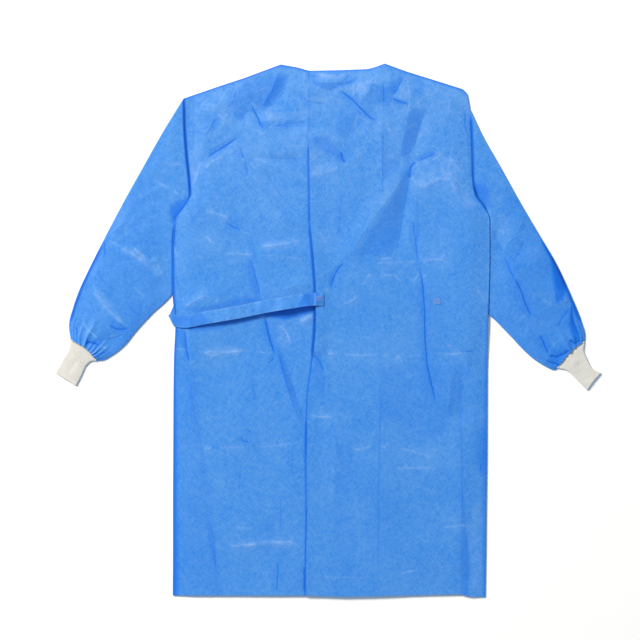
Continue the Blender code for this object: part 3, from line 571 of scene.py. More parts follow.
# How high the tie's two edges stand over the cloth, by x: (x, height).
TIE_UPPER_STANDS = [(-9, 0.2), (-28, 0.3), (-45, 8), (-100, 11), (-145, 7), (-235, 6),
                    (-300, 2.5), (-340, 1)]
TIE_LOWER_STANDS = [(-9, 0.3), (-24, 0.4), (-38, 10), (-100, 13), (-145, 7.5), (-235, 7),
                    (-300, 3), (-340, 1.5)]

TIE_CREASES = {
    "low ridge": [[(-34, 50), (-11, 86)], [(-150, 68), (-162, 40)]],
    "groove": [[(-292, 46), (-255, 12)]],
}
# Painted light and shade on the tie: darker by its welded end and before its fold, paler between
TIE_PAINTED_FACETS = [
    PaintedFacet(-0.12, 5, [(-36, 52), (-14, 90), (-50, 90), (-70, 52)]),
    PaintedFacet(-0.1, 4, [(-292, 46), (-255, 12), (-350, 0), (-350, 40)]),
    PaintedFacet(0.05, 6, [(-280, 50), (-150, 70), (-165, 28), (-250, 10)]),
]

WELD_SIDE = 15.0
WELD_THICK = 0.5
WELD_POINTS = 17  # along a side
WELD_ROUNDING = 0.12  # how far its corners are brought in
WELD_LIFT, WELD_RIM, WELD_INSET = 0.1, 0.12, 0.2
TIE_WELD_AT = (-20.5, 70.5)
INNER_TIE_WELD_AT = (246.5, 65.5)

Tuck = namedtuple("Tuck", "start end")
TUCKS = [
    Tuck((-345, 235), (-340, 100)),
    Tuck((-354, 22), (-302, 75)),
    Tuck((362, 240), (352, 60)),
]
SEAM_DIPS = {"left": 0.12, "right": 0.2}  # how far the side seams pull the cloth down
SEAM_DIP_WIDTH = 5.0
ARMHOLE_SHADE_WIDTH = 3.0
GROOVE_FADE = 25  # the armhole groove dies out over this distance above ARMHOLE_ENDS
SHOULDER_EDGE, SHOULDER_ROLL = CLOTH + 0.5, 7  # height of the shoulder's edge, and its roll
OVERLAP_FROM, OVERLAP_TO = 10, 80  # about the left half's hidden edge, where the step runs out
FREE_EDGE_LEAST, FREE_EDGE_MOST = 0.1, 2.6  # how far the right half's free edge stands off
FREE_EDGE_REACH, FREE_EDGE_MORE = 26, 20
HIDDEN_FRONT_PITCH = 14
TUCK_REACH = 34.0
TUCK_ENDS = 160.0

# What the material reads: whitening and painted light and shade, then the fine line's looks
LOOKS = ("tone", "line_gap", "line_mark", "line_lift")
PLAIN = [0.0, LINE_GAP, 0.0, 0.0]  # the looks of cloth without a crease
TURN_ANGLES = np.radians(np.linspace(65, -65, 7))


# ---------------------------------------------------------------- Curves and fields


def monotone(known, values, at):
    """A smooth curve through the values that never overshoots them; known runs upwards."""
    known, values = np.asarray(known, float), np.asarray(values, float)
    step = np.diff(known)
    rise = np.diff(values) / step
    slope = np.zeros(len(known))
    slope[0], slope[-1] = rise[0], rise[-1]
    onward = rise[:-1] * rise[1:] > 0
    both = rise[:-1] + rise[1:]
    slope[1:-1][onward] = (2 * rise[:-1] * rise[1:])[onward] / both[onward]
    at = np.clip(at, known[0], known[-1])
    k = np.clip(np.searchsorted(known, at) - 1, 0, len(known) - 2)
    t = (at - known[k]) / step[k]
    start = (1 + 2 * t) * (1 - t) ** 2 * values[k] + t * (1 - t) ** 2 * step[k] * slope[k]
    end = t**2 * (3 - 2 * t) * values[k + 1] + t**2 * (t - 1) * step[k] * slope[k + 1]
    return start + end


def ease(low, high, at):
    """0 up to low, 1 from high on, and smooth between."""
    t = np.clip((at - low) / (high - low), 0, 1)
    return t * t * (3 - 2 * t)


def bell(distance, width):
    """A bell over a distance: e to the power of less the square of the distance over the width."""
    return np.exp(-((distance / width) ** 2))


def route(points, shares):
    """Points along a smooth line through the given ones, at these shares of its length."""
    points = np.array(points, float)
    run = np.concatenate([[0], np.cumsum(np.linalg.norm(np.diff(points, axis=0), axis=1))])
    at = np.asarray(shares) * run[-1]
    return np.stack([monotone(run, points[:, axis], at) for axis in (0, 1)], axis=-1)


def distance_to(start, end, x, y):
    """Distance in plan from each point to a straight stretch."""
    start, end = np.array(start, float), np.array(end, float)
    along = end - start
    t = np.clip(((x - start[0]) * along[0] + (y - start[1]) * along[1]) / (along @ along), 0, 1)
    return np.hypot(x - start[0] - t * along[0], y - start[1] - t * along[1])


def creased(creases, x, y):
    """The height and the looks that creases give at each point.

    creases gives lists of lines by kind. A crease's height falls off on each side as one less the
    distance over the width, to the power CREST_FALL, which leaves a crisp crest. It gets lower and
    narrower towards its two ends. The whitening that a positive mark gives, and the painted shade
    that a negative one gives, is the mark times two bells over the distance: a soft band as wide as
    a share of its slope, and a wide halo. The other looks are for the material's fine line on the
    crest: the distance to it, signed by side, its mark, and how far it's pinched.
    """
    height, looks = np.zeros_like(x), np.tile(PLAIN, x.shape + (1,))
    closest = np.full(x.shape, LINE_GAP)
    rows = [(CREASES[kind], line) for kind, lines in creases.items() for line in lines]
    for crease, points in rows:
        line = np.array(points, float)
        reach = max(crease.left, crease.right, LOOKS_REACH)
        low, high = line.min(0) - reach, line.max(0) + reach
        near = (x > low[0]) & (x < high[0]) & (y > low[1]) & (y < high[1])
        px, py = x[near], y[near]
        nearest = np.full(px.shape, 1e9)
        side, run = np.zeros(px.shape), np.zeros(px.shape)
        lengths = np.linalg.norm(np.diff(line, axis=0), axis=1)
        before = np.concatenate([[0], np.cumsum(lengths)])
        for k, length in enumerate(lengths):
            along = (line[k + 1] - line[k]) / length
            dx, dy = px - line[k, 0], py - line[k, 1]
            t = np.clip(dx * along[0] + dy * along[1], 0, length)
            gap = np.hypot(dx - t * along[0], dy - t * along[1])
            closer = gap < nearest
            nearest = np.where(closer, gap, nearest)
            side = np.where(closer, along[0] * dy - along[1] * dx, side)
            run = np.where(closer, before[k] + t, run)
        share = run / before[-1]
        alive = ease(0, END_FADE, share) * ease(0, END_FADE, 1 - share)
        slope = np.where(side > 0, crease.left, crease.right)
        width = slope * (END_WIDTH + (1 - END_WIDTH) * alive)
        height[near] += crease.height * alive * np.clip(1 - nearest / width, 0, 1) ** CREST_FALL
        soft = np.clip(SOFT_SHARE * slope, SOFT_LEAST, SOFT_MOST)
        strength = SOFT_MARK if crease.mark > 0 else SOFT_SHADE
        band = strength * bell(nearest, soft) + HALO * bell(nearest, HALO_REACH)
        looks[near, 0] += crease.mark * alive * band
        crest = np.clip(crease.height, -1, 1)
        ours = (nearest < closest[near]) & (alive > 0.02)
        faded = alive * (1 - ease(LINE_FADES, LINE_GAP, nearest))
        fine = np.stack([np.where(side > 0, nearest, -nearest),
                         (FINE_MARK * crease.mark + CREST_MARK * crest) * faded,
                         PINCH * crest * faded], axis=-1)
        closest[near] = np.where(ours, nearest, closest[near])
        looks[near, 1:] = np.where(ours[..., None], fine, looks[near, 1:])
    return height, looks


def ripples(x, y, seed, shortest, longest, count):
    """A smooth random field of about unit height: sine waves of random direction and phase."""
    rng = np.random.default_rng(seed)
    total = np.zeros_like(x)
    for _ in range(count):
        heading, phase = rng.uniform(0, 2 * np.pi, 2)
        length = shortest * (longest / shortest) ** rng.uniform()
        total += np.sin(2 * np.pi * (x * np.cos(heading) + y * np.sin(heading)) / length + phase)
    return total / np.sqrt(count / 2)


def crumple(x, y, seed, size):
    """Crisp crests between flat facets: a few zigzag waves that run every way and come and go."""
    rng = np.random.default_rng(seed)
    total = np.zeros_like(x)
    for k in range(7):
        heading = np.pi * (k + rng.uniform(0.2, 0.8)) / 7
        length = size * rng.uniform(0.8, 2.2)
        along = x * np.cos(heading) + y * np.sin(heading)
        bent = along + 0.25 * size * ripples(x, y, seed + 10 + k, 2 * size, 5 * size, 5)
        zigzag = np.abs(2 * ((bent / length + rng.uniform()) % 1) - 1)
        here = ease(0.1, 1.6, ripples(x, y, seed + 30 + k, 2.5 * size, 6 * size, 6))
        total += length / size * here * (zigzag - 0.5)
    return total


def body_line(name, y):
    """x of one of BODY's lines at each y."""
    upwards = BODY[::-1]
    return monotone([s.y for s in upwards], [getattr(s, name) for s in upwards], y)


def edge_y(edge, x):
    """y of the top edge or the hem at each x."""
    return np.interp(x, [p[0] for p in edge], [p[1] for p in edge])


def lift(x, y):
    """How far the body is raised over the tucked sleeves and the hidden end of the tie."""
    nearest = np.min([distance_to(t.start, t.end, x, y) for t in TUCKS], axis=0)
    return TUCK_LIFT * (1 - ease(TUCK_REACH, TUCK_ENDS, nearest))


def relief(x, y):
    """Height of the back's folds and creases over its flat form; their whitening and painted light
    and shade.
    """
    from_left = x - body_line("left_edge", y)
    from_right = body_line("right_edge", y) - x
    from_top = edge_y(TOP_EDGE, x) - y
    inside = np.minimum(np.minimum(from_left, from_right), from_top)
    broad = sum(
        f.height * np.exp(-((distance_to(f.start, f.end, x, y) / f.reach) ** 2)) for f in FOLDS
    )
    chest = ease(CHEST_FROM, CHEST_TO, y)
    broad = broad + PUFF + SWELL_HEIGHT * ripples(
        x, y, SWELL_SEED, SWELL_SHORTEST, SWELL_LONGEST, SWELL_WAVES
    )
    fine, looks = creased(BODY_CREASES, x, y)
    crumpled = CRUMPLE_LEAST + CRUMPLE_AT_CHEST * chest
    fine = fine + crumple(x, y, CRUMPLE_SEED, CRUMPLE_SIZE) * crumpled
    height = broad
    for distance in (from_left, from_right, from_top):
        height = height * ease(0, FOLD_FADE, distance)
    height = height + fine * ease(0, RIM_FADE, inside)
    # Painted light and shade on the facets
    looks[..., 0] += tone(PAINTED_FACETS, x, y)
    # Painted shade along the top edge, and along both sides low down
    looks[..., 0] -= EDGE_SHADE * bell(np.maximum(from_top, 0), EDGE_SHADE_REACH)
    from_side = np.maximum(np.minimum(from_left, from_right), 0)
    looks[..., 0] -= SIDE_SHADE * bell(from_side, EDGE_SHADE_REACH) * (y < SIDE_SHADE_BELOW)
    return np.maximum(height, LEAST_RELIEF), looks


def inside_outline(outline, soft, x, y):
    """1 inside a closed outline, 0 outside it, with a soft border as wide as given."""
    corners = np.array(outline, float)
    gap, crossings = np.full(x.shape, 1e9), np.zeros(x.shape, int)
    for a, b in zip(corners, np.roll(corners, -1, axis=0)):
        gap = np.minimum(gap, distance_to(a, b, x, y))
        spans = (a[1] > y) != (b[1] > y)
        at = a[0] + (y - a[1]) * (b[0] - a[0]) / (b[1] - a[1] if b[1] != a[1] else 1.0)
        crossings += spans & (x < at)
    signed = np.where(crossings % 2 == 1, gap, -gap)
    return ease(-soft / 2, soft / 2, signed)


def tone(facets, x, y):
    """Painted light and shade from facet outlines: how much paler or darker each point is painted.
    """
    total = np.zeros_like(x)
    for facet in facets:
        corners = np.array(facet.outline, float)
        low, high = corners.min(0) - facet.soft, corners.max(0) + facet.soft
        near = (x > low[0]) & (x < high[0]) & (y > low[1]) & (y < high[1])
        total[near] += facet.tone * inside_outline(corners, facet.soft, x[near], y[near])
    return total


# ---------------------------------------------------------------- Meshes


def grid_faces(ids):
    """The four-sided faces of a grid of point numbers."""
    corners = [ids[:-1, :-1], ids[1:, :-1], ids[1:, 1:], ids[:-1, 1:]]
    return np.stack(corners, axis=-1).reshape(-1, 4)


def shell(name, outer, inner, faces, material, attributes=None, uv=None):
    """A closed thin shell between two skins that share their faces, with rims round its edges.

    attributes are values per point of a skin; uv is a plan of the cloth, per point as well.
    """
    outer, inner = outer.reshape(-1, 3), inner.reshape(-1, 3)
    used = np.unique(faces)
    index = np.full(len(outer), -1)
    index[used] = np.arange(len(used))
    faces, outer, inner = index[faces], outer[used], inner[used]
    count = len(used)
    sides = np.concatenate([faces[:, [k, (k + 1) % 4]] for k in range(4)])
    keys = np.sort(sides, axis=1) @ [count, 1]
    _, first, times = np.unique(keys, return_index=True, return_counts=True)
    rim = sides[first[times == 1]]
    rims = np.column_stack([rim[:, 1], rim[:, 0], rim[:, 0] + count, rim[:, 1] + count])
    every = np.concatenate([faces, faces[:, ::-1] + count, rims])
    mesh = bpy.data.meshes.new(name)
    mesh.vertices.add(2 * count)
    mesh.vertices.foreach_set("co", (np.concatenate([outer, inner]) * MM).ravel())
    mesh.loops.add(every.size)
    mesh.loops.foreach_set("vertex_index", every.ravel())
    mesh.polygons.add(len(every))
    mesh.polygons.foreach_set("loop_start", np.arange(0, every.size, 4))
    mesh.update(calc_edges=True)
    for key, values in (attributes or {}).items():
        layer = mesh.attributes.new(key, "FLOAT", "POINT")
        layer.data.foreach_set("value", np.tile(np.asarray(values, float).ravel()[used], 2))
    if uv is not None:
        places = np.tile(uv.reshape(-1, 2)[used], (2, 1)) * MM
        mesh.uv_layers.new(name="Cloth").data.foreach_set("uv", places[every.ravel()].ravel())
    if mesh_is_inside_out(mesh):
        mesh.flip_normals()
    mesh.polygons.foreach_set("use_smooth", np.arange(len(every)) < len(every) - len(rims))
    ends = np.empty(2 * len(mesh.edges), int)
    mesh.edges.foreach_get("vertices", ends)
    edge_keys = np.sort(ends.reshape(-1, 2), axis=1) @ [2 * count, 1]
    rim_keys = np.sort(np.concatenate([rim, rim + count]), axis=1) @ [2 * count, 1]
    mesh.edges.foreach_set("use_edge_sharp", np.isin(edge_keys, rim_keys))
    mesh.materials.append(material)
    return put(name, mesh)


def mesh_is_inside_out(mesh):
    """Whether the volume that the faces enclose comes out negative."""
    mesh.calc_loop_triangles()
    points = np.empty(3 * len(mesh.vertices))
    mesh.vertices.foreach_get("co", points)
    corners = np.empty(3 * len(mesh.loop_triangles), int)
    mesh.loop_triangles.foreach_get("vertices", corners)
    a, b, c = points.reshape(-1, 3)[corners.reshape(-1, 3)].transpose(1, 0, 2)
    return (a * np.cross(b, c)).sum() < 0


def looks_by_name(looks):
    """The looks as the attributes that the material reads."""
    return {name: looks[..., k] for k, name in enumerate(LOOKS)}


def put(name, data):
    """A new object with this data, in the scene."""
    piece = bpy.data.objects.new(name, data)
    bpy.context.scene.collection.objects.link(piece)
    return piece


def unit(vectors):
    """Each row divided by its length."""
    return vectors / np.linalg.norm(vectors, axis=1)[:, None]


def painted_light_and_crinkling_at(y):
    """How much the cloth is painted paler towards the neck, and crinkled: 0 up to
    PAINTED_LIGHT_AND_CRINKLING_FROM, and 1 from PAINTED_LIGHT_AND_CRINKLING_TO on.
    """
    return ease(PAINTED_LIGHT_AND_CRINKLING_FROM, PAINTED_LIGHT_AND_CRINKLING_TO, y)


def with_height(plan, z):
    """Plan points with their heights beside them."""
    return np.concatenate([plan, z[..., None]], axis=-1)


def turned_edge(plan, outward, low, high, thick):
    """Both skins of a folded edge between two layers, [angle, row, xyz], its top first."""
    middle, radius = (low + high) / 2, (high - low) / 2
    skins = []
    for r in (radius, np.maximum(radius - thick, 0.15)):
        out = plan[None] + outward[None] * (np.cos(TURN_ANGLES)[:, None] * r)[..., None]
        skins.append(with_height(out, middle + np.sin(TURN_ANGLES)[:, None] * r))
    return skins


def spread(start, end, pitch):
    """Even shares of a stretch, about a pitch apart, with both ends."""
    return np.linspace(0, 1, max(2, int(round(abs(end - start) / pitch)) + 1))


# ---------------------------------------------------------------- Materials


def nodes_of(name):
    """A new material's nodes, its shader, and a function that adds a node and joins its inputs."""
    material = bpy.data.materials.new(name)
    material.use_nodes = True
    tree = material.node_tree
    shader = tree.nodes["Principled BSDF"]

    def add(kind, settings=None, **inputs):
        """A new node; its inputs go by name, or as i0, i1 and so on by number."""
        node = tree.nodes.new(kind)
        for key, value in (settings or {}).items():
            setattr(node, key, value)
        for key, value in inputs.items():
            socket = node.inputs[int(key[1:])] if key[0] == "i" and key[1:].isdigit() else (
                node.inputs[key.replace("_", " ")]
            )
            if isinstance(value, bpy.types.NodeSocket):
                tree.links.new(value, socket)
            else:
                socket.default_value = value
        return node

    def join(output, name):
        """Join an output to the shader's input of this name."""
        tree.links.new(output, shader.inputs[name])

    return material, shader, add, join


def noise(add, place, scale, detail=3.0, roughness=0.55):
    """Cloudy noise, about 0.5 on the whole."""
    return add(
        "ShaderNodeTexNoise", Vector=place, Scale=scale, Detail=detail, Roughness=roughness
    ).outputs["Fac"]


def streaks(add, place, turn):
    """Noise drawn out to fibres that run one way."""
    turned = add("ShaderNodeMapping", {"vector_type": "TEXTURE"}, Vector=place,
                 Rotation=(0, 0, turn), Scale=(1, 5, 1))
    return noise(add, turned.outputs[0], 480, 3, 0.6)


def crinkles(add, place, scale):
    """Fine straight wrinkles that come and go, 1 on their crests.

    They follow the borders of cells in slightly bent space, out to 5% of a cell.
    """
    bend = add("ShaderNodeTexNoise", Vector=place, Scale=1.4 * scale, Detail=2).outputs["Color"]
    bent = add("ShaderNodeVectorMath", {"operation": "MULTIPLY_ADD"}, i0=bend,
               i1=(0.35 / scale,) * 3, i2=place).outputs[0]
    border = add("ShaderNodeTexVoronoi", {"feature": "DISTANCE_TO_EDGE"}, Vector=bent,
                 Scale=scale).outputs["Distance"]
    here = level(add, noise(add, place, 0.6 * scale, 3), 0.45, 0.6)
    return times(add, level(add, border, 0, 0.05, 1, 0), here)


def level(add, value, low, high, to_low=0.0, to_high=1.0):
    """The value's range from low to high, brought to another one and held there."""
    node = add("ShaderNodeMapRange", Value=value)
    for socket, number in zip(("From Min", "From Max", "To Min", "To Max"),
                              (low, high, to_low, to_high)):
        node.inputs[socket].default_value = number
    return node.outputs["Result"]


def times(add, first, second):
    """The product of two values."""
    return add("ShaderNodeMath", {"operation": "MULTIPLY"}, i0=first, i1=second).outputs[0]


def plus(add, first, second):
    """The sum of two values."""
    return add("ShaderNodeMath", {"operation": "ADD"}, i0=first, i1=second).outputs[0]


def sine(add, angle):
    """The sine of an angle in radians."""
    return add("ShaderNodeMath", {"operation": "SINE"}, i0=angle).outputs[0]


def blended(add, factor, first, second):
    """A colour between two, by a factor."""
    node = add("ShaderNodeMix", {"data_type": "RGBA"})
    tree = node.id_data
    for socket, value in ((node.inputs[0], factor), (node.inputs[6], first),
                          (node.inputs[7], second)):
        if isinstance(value, bpy.types.NodeSocket):
            tree.links.new(value, socket)
        else:
            socket.default_value = value
    return node.outputs[2]


def nonwoven_material():
    """Bonded non-woven cloth: cloudy fibre webs, bond points, creases that have whitened, and
    painted light and shade.
    """
    material, shader, add, join = nodes_of("nonwoven")
    place = add("ShaderNodeTexCoord").outputs["Object"]
    clouds = noise(add, place, 9, 4)
    patches = noise(add, place, 55, 4, 0.65)
    web = times(add, plus(add, streaks(add, place, 0.9), streaks(add, place, -0.7)), 0.5)
    fibres = noise(add, place, 900, 4, 0.7)
    # deep and light: the cloth's mottled colours; pale: whitening and painted light; shade, dark:
    # painted shade
    deep = (0.009, 0.183, 0.675, 1)
    light = (0.085, 0.290, 0.715, 1)
    pale = (0.32, 0.50, 0.82, 1)
    shade = (0.0, 0.14, 0.69, 1)
    dark = (0.0, 0.055, 0.36, 1)
    mottled = plus(add, level(add, clouds, 0.3, 0.7, 0.0, 0.3), level(add, web, 0.38, 0.62, 0, 0.7))
    mottled = plus(add, mottled, level(add, patches, 0.3, 0.7, 0.0, 0.2))
    colour = blended(add, mottled, deep, light)
    # Painted light: the cloth is painted paler towards the neck, in cloudy patches
    painted_light_and_crinkling_amount = add("ShaderNodeAttribute", {"attribute_name": "handled"}).outputs["Fac"]
    painted_light_clouds = plus(add, level(add, clouds, 0.3, 0.75, 0.0, 0.08),
                level(add, patches, 0.4, 0.72, 0.0, 0.1))
    colour = blended(add, times(add, painted_light_and_crinkling_amount, painted_light_clouds), colour, pale)
    tone, gap, mark, lifted = [
        add("ShaderNodeAttribute", {"attribute_name": name}).outputs["Fac"] for name in LOOKS
    ]
    # The fine line on a crease: a bell over the signed distance to it, broken up by the fibres.
    wavy = plus(add, gap, level(add, noise(add, place, 70, 3), 0.2, 0.8, -1.6, 1.6))
    bell = add("ShaderNodeMath", {"operation": "EXPONENT"},
               i0=times(add, times(add, wavy, wavy), -1 / 1.3**2)).outputs[0]
    line = times(add, bell, mark)
    flecks = level(add, noise(add, place, 260, 4, 0.75), 0.38, 0.66, 0.5, 2.6)
    broken = level(add, noise(add, place, 75, 2), 0.4, 0.6, 0.2, 1.3)
    rubbed = times(add, times(add, level(add, line, 0, 1, 0, 0.8), broken), flecks)
    crinkled = plus(add, crinkles(add, place, 20), crinkles(add, place, 42))
    crinkled = times(add, crinkled, level(add, painted_light_and_crinkling_amount, 0, 1, 0.3, 1))
    # Paler where the looks are positive: painted light on facets, whitened crease bands and crinkle
    # crests
    haze = times(add, level(add, tone, 0, 0.77), level(add, patches, 0.35, 0.65, 0.5, 1.5))
    colour = blended(add, plus(add, haze, times(add, crinkled, 0.16)), colour, pale)
    colour = blended(add, rubbed, colour, pale)
    # Painted shade, and deeper painted shade, where the looks and the fine line are negative
    shaded = plus(add, tone, line)
    colour = blended(add, level(add, shaded, 0, -0.28), colour, shade)
    colour = blended(add, level(add, shaded, -0.25, -1.0), colour, dark)
    join(colour, "Base Color")
    rough = plus(add, level(add, web, 0.3, 0.7, 0.42, 0.54), level(add, shaded, 0, -1, 0, 0.4))
    join(rough, "Roughness")
    shader.inputs["Specular IOR Level"].default_value = 0.3
    shader.inputs["Sheen Weight"].default_value = 0.04
    shader.inputs["Sheen Roughness"].default_value = 0.45
    parts = add("ShaderNodeSeparateXYZ", Vector=place)
    waves = [sine(add, times(add, parts.outputs[axis], 2 * np.pi / BOND_PITCH)) for axis in (0, 1)]
    bonds = level(add, times(add, *waves), 0.35, 0.9)
    cloth = plus(add, times(add, fibres, 0.25), times(add, web, 0.75))
    bump = add("ShaderNodeBump", Height=cloth, Strength=0.35, Distance=0.0006)
    dots = add("ShaderNodeBump", {"invert": True}, Height=bonds, Strength=0.25, Distance=0.0001,
               Normal=bump.outputs["Normal"])
    pinched = plus(add, times(add, bell, lifted), times(add, crinkled, 0.15))
    pinch = add("ShaderNodeBump", Height=pinched, Strength=1.0, Distance=MM,
                Normal=dots.outputs["Normal"])
    join(pinch.outputs["Normal"], "Normal")
    return material


def knit_material():
    """Ribbed white knit: rows of small stitches over the ribs, which are in the mesh."""
    material, shader, add, join = nodes_of("knit")
    place = add("ShaderNodeUVMap", {"uv_map": "Cloth"}).outputs["UV"]
    object_place = add("ShaderNodeTexCoord").outputs["Object"]
    parts = add("ShaderNodeSeparateXYZ", Vector=place)
    across = times(add, parts.outputs[0], 2 * np.pi / WALE_PITCH)
    along = times(add, parts.outputs[1], 2 * np.pi / COURSE_PITCH)
    wale = sine(add, across)
    slanted = plus(add, along, times(add, wale, 1.4))
    stitches = sine(add, slanted)
    fuzz = noise(add, object_place, 700, 4, 0.7)
    soft = noise(add, object_place, 30, 3)
    base = blended(add, level(add, soft, 0.3, 0.7), (0.59, 0.585, 0.56, 1), (0.67, 0.665, 0.645, 1))
    join(blended(add, level(add, stitches, -1, 0.2, 0.25, 0.0), base, (0.52, 0.51, 0.48, 1)),
         "Base Color")
    join(level(add, fuzz, 0.3, 0.7, 0.85, 0.98), "Roughness")
    shader.inputs["Specular IOR Level"].default_value = 0.2
    shader.inputs["Sheen Weight"].default_value = 0.25
    height = plus(add, times(add, stitches, 0.5), fuzz)
    bump = add("ShaderNodeBump", Height=height, Strength=0.3, Distance=0.0003)
    join(bump.outputs["Normal"], "Normal")
    return material


def weld_material():
    """Cloth that a weld has pressed and melted: darker, glossier, with the welder's small grid."""
    material, _, add, join = nodes_of("weld")
    place = add("ShaderNodeTexCoord").outputs["Object"]
    parts = add("ShaderNodeSeparateXYZ", Vector=place)
    turned = [plus(add, parts.outputs[0], parts.outputs[1]),
              add("ShaderNodeMath", {"operation": "SUBTRACT"}, i0=parts.outputs[0],
                  i1=parts.outputs[1]).outputs[0]]
    waves = [sine(add, times(add, way, 2 * np.pi / KNURL_PITCH)) for way in turned]
    knurl = level(add, times(add, *waves), -0.6, 0.8)
    melted = noise(add, place, 500, 4)
    colour = blended(add, knurl, (0.038, 0.15, 0.52, 1), (0.10, 0.26, 0.68, 1))
    join(blended(add, level(add, melted, 0.45, 0.75, 0, 0.35), colour, (0.22, 0.40, 0.74, 1)),
         "Base Color")
    join(level(add, melted, 0.3, 0.7, 0.32, 0.5), "Roughness")
    bump = add("ShaderNodeBump", Height=plus(add, knurl, times(add, melted, 0.3)), Strength=0.7,
               Distance=0.0004)
    join(bump.outputs["Normal"], "Normal")
    return material


def thread_material():
    """Cream polyester thread, twisted from two plies."""
    material, shader, add, join = nodes_of("thread")
    place = add("ShaderNodeTexCoord").outputs["Object"]
    plies = noise(add, place, 1500, 3)
    join(blended(add, plies, (0.70, 0.63, 0.48, 1), (0.90, 0.85, 0.72, 1)), "Base Color")
    join(level(add, plies, 0.3, 0.7, 0.5, 0.7), "Roughness")
    shader.inputs["Sheen Weight"].default_value = 0.3
    return material


# ---------------------------------------------------------------- The body


def columns_between(y, *lines_and_pitches):
    """x of grid lines across the body at each y, [column, row], between named lines of BODY."""
    columns = []
    for left, right, pitch in lines_and_pitches:
        shares = spread(body_line(left, 0.0), body_line(right, 0.0), pitch)
        first, last = body_line(left, y), body_line(right, y)
        part = first[None] + (last - first)[None] * shares[:, None]
        columns.append(part if not columns else part[1:])
    return np.concatenate(columns)


def body_grid(sections, tip_y, pitch, scooped=False):
    """Plan points of a layer of the body, [column, row, xy], and the row at the underarm."""
    upper = spread(tip_y, UNDERARM_Y, pitch)
    lower = spread(UNDERARM_Y, HEM_Y, pitch)[1:]
    row_y = np.concatenate([tip_y + (UNDERARM_Y - tip_y) * upper,
                            UNDERARM_Y + (HEM_Y - UNDERARM_Y) * lower])
    x = columns_between(row_y, *sections)
    y = np.tile(row_y, (len(x), 1))
    top = edge_y(TOP_EDGE, x[:, 0])
    if scooped:
        across = (x[:, 0] - NECK_LEFT[0]) / (NECK_RIGHT[0] - NECK_LEFT[0])
        top = top - FRONT_NECK_DROP * np.sqrt(np.clip(1 - (2 * across - 1) ** 2, 0, 1))
    underarm = len(upper) - 1
    y[:, : underarm + 1] = top[:, None] + (UNDERARM_Y - top[:, None]) * upper
    y[:, underarm:] += (edge_y(HEM_EDGE, x[:, -1]) - HEM_Y)[:, None] * np.concatenate([[0], lower])
    return np.stack([x, y], axis=-1), underarm


def top_of_back(x, y):
    """Height of the back's outer skin where one layer lies on the front, and its looks."""
    folds, looks = relief(x, y)
    return lift(x, y) + FLAT + folds, looks


def rolled_down(z, distance, edge_z, reach):
    """Lets a height roll down to edge_z where the distance to a seam runs out."""
    return edge_z + (z - edge_z) * np.sqrt(ease(-0.3 * reach, reach, distance))


def overlap_step(x, y):
    """How much higher the right half lies: over the hidden edge of the left one, then no more."""
    hidden = body_line("underlap", y)
    return (CLOTH + LAYER_GAP) * (1 - ease(hidden - OVERLAP_FROM, hidden + OVERLAP_TO, x))


def profile(table, at):
    """A value that runs straight from one (place, value) of a table to the next."""
    table = sorted(table)
    return np.interp(at, [row[0] for row in table], [row[1] for row in table])


def free_edge_lift(x, y):
    """The right half's free edge stands up a little, most of all where the tie pulls at it."""
    from_edge = x - body_line("opening", y)
    high = profile(OPENING_GAPES, y)
    reach = FREE_EDGE_REACH + FREE_EDGE_MORE * high
    return (FREE_EDGE_LEAST + FREE_EDGE_MOST * high) * (1 - ease(0, reach, from_edge))


def opening_shade(x, y):
    """The shade painted along the right half's free edge, where it stands off the left half."""
    from_edge = x - body_line("opening", y)
    wide = np.where(from_edge < 0, 3.4, 1.4)
    dark = np.where(from_edge < 0, 0, 0.2) + 0.75 * profile(OPENING_GAPES, y)
    return -dark * bell(from_edge, wide)


def armhole_shade(side, x, y):
    """Shade painted in the groove where a sleeve is sewn on, and along the body's side under it."""
    edge = body_line(side + "_edge", y)
    deep = profile(ARMHOLE_SHADES[side], y)
    return -deep * bell(x - edge, ARMHOLE_SHADE_WIDTH)


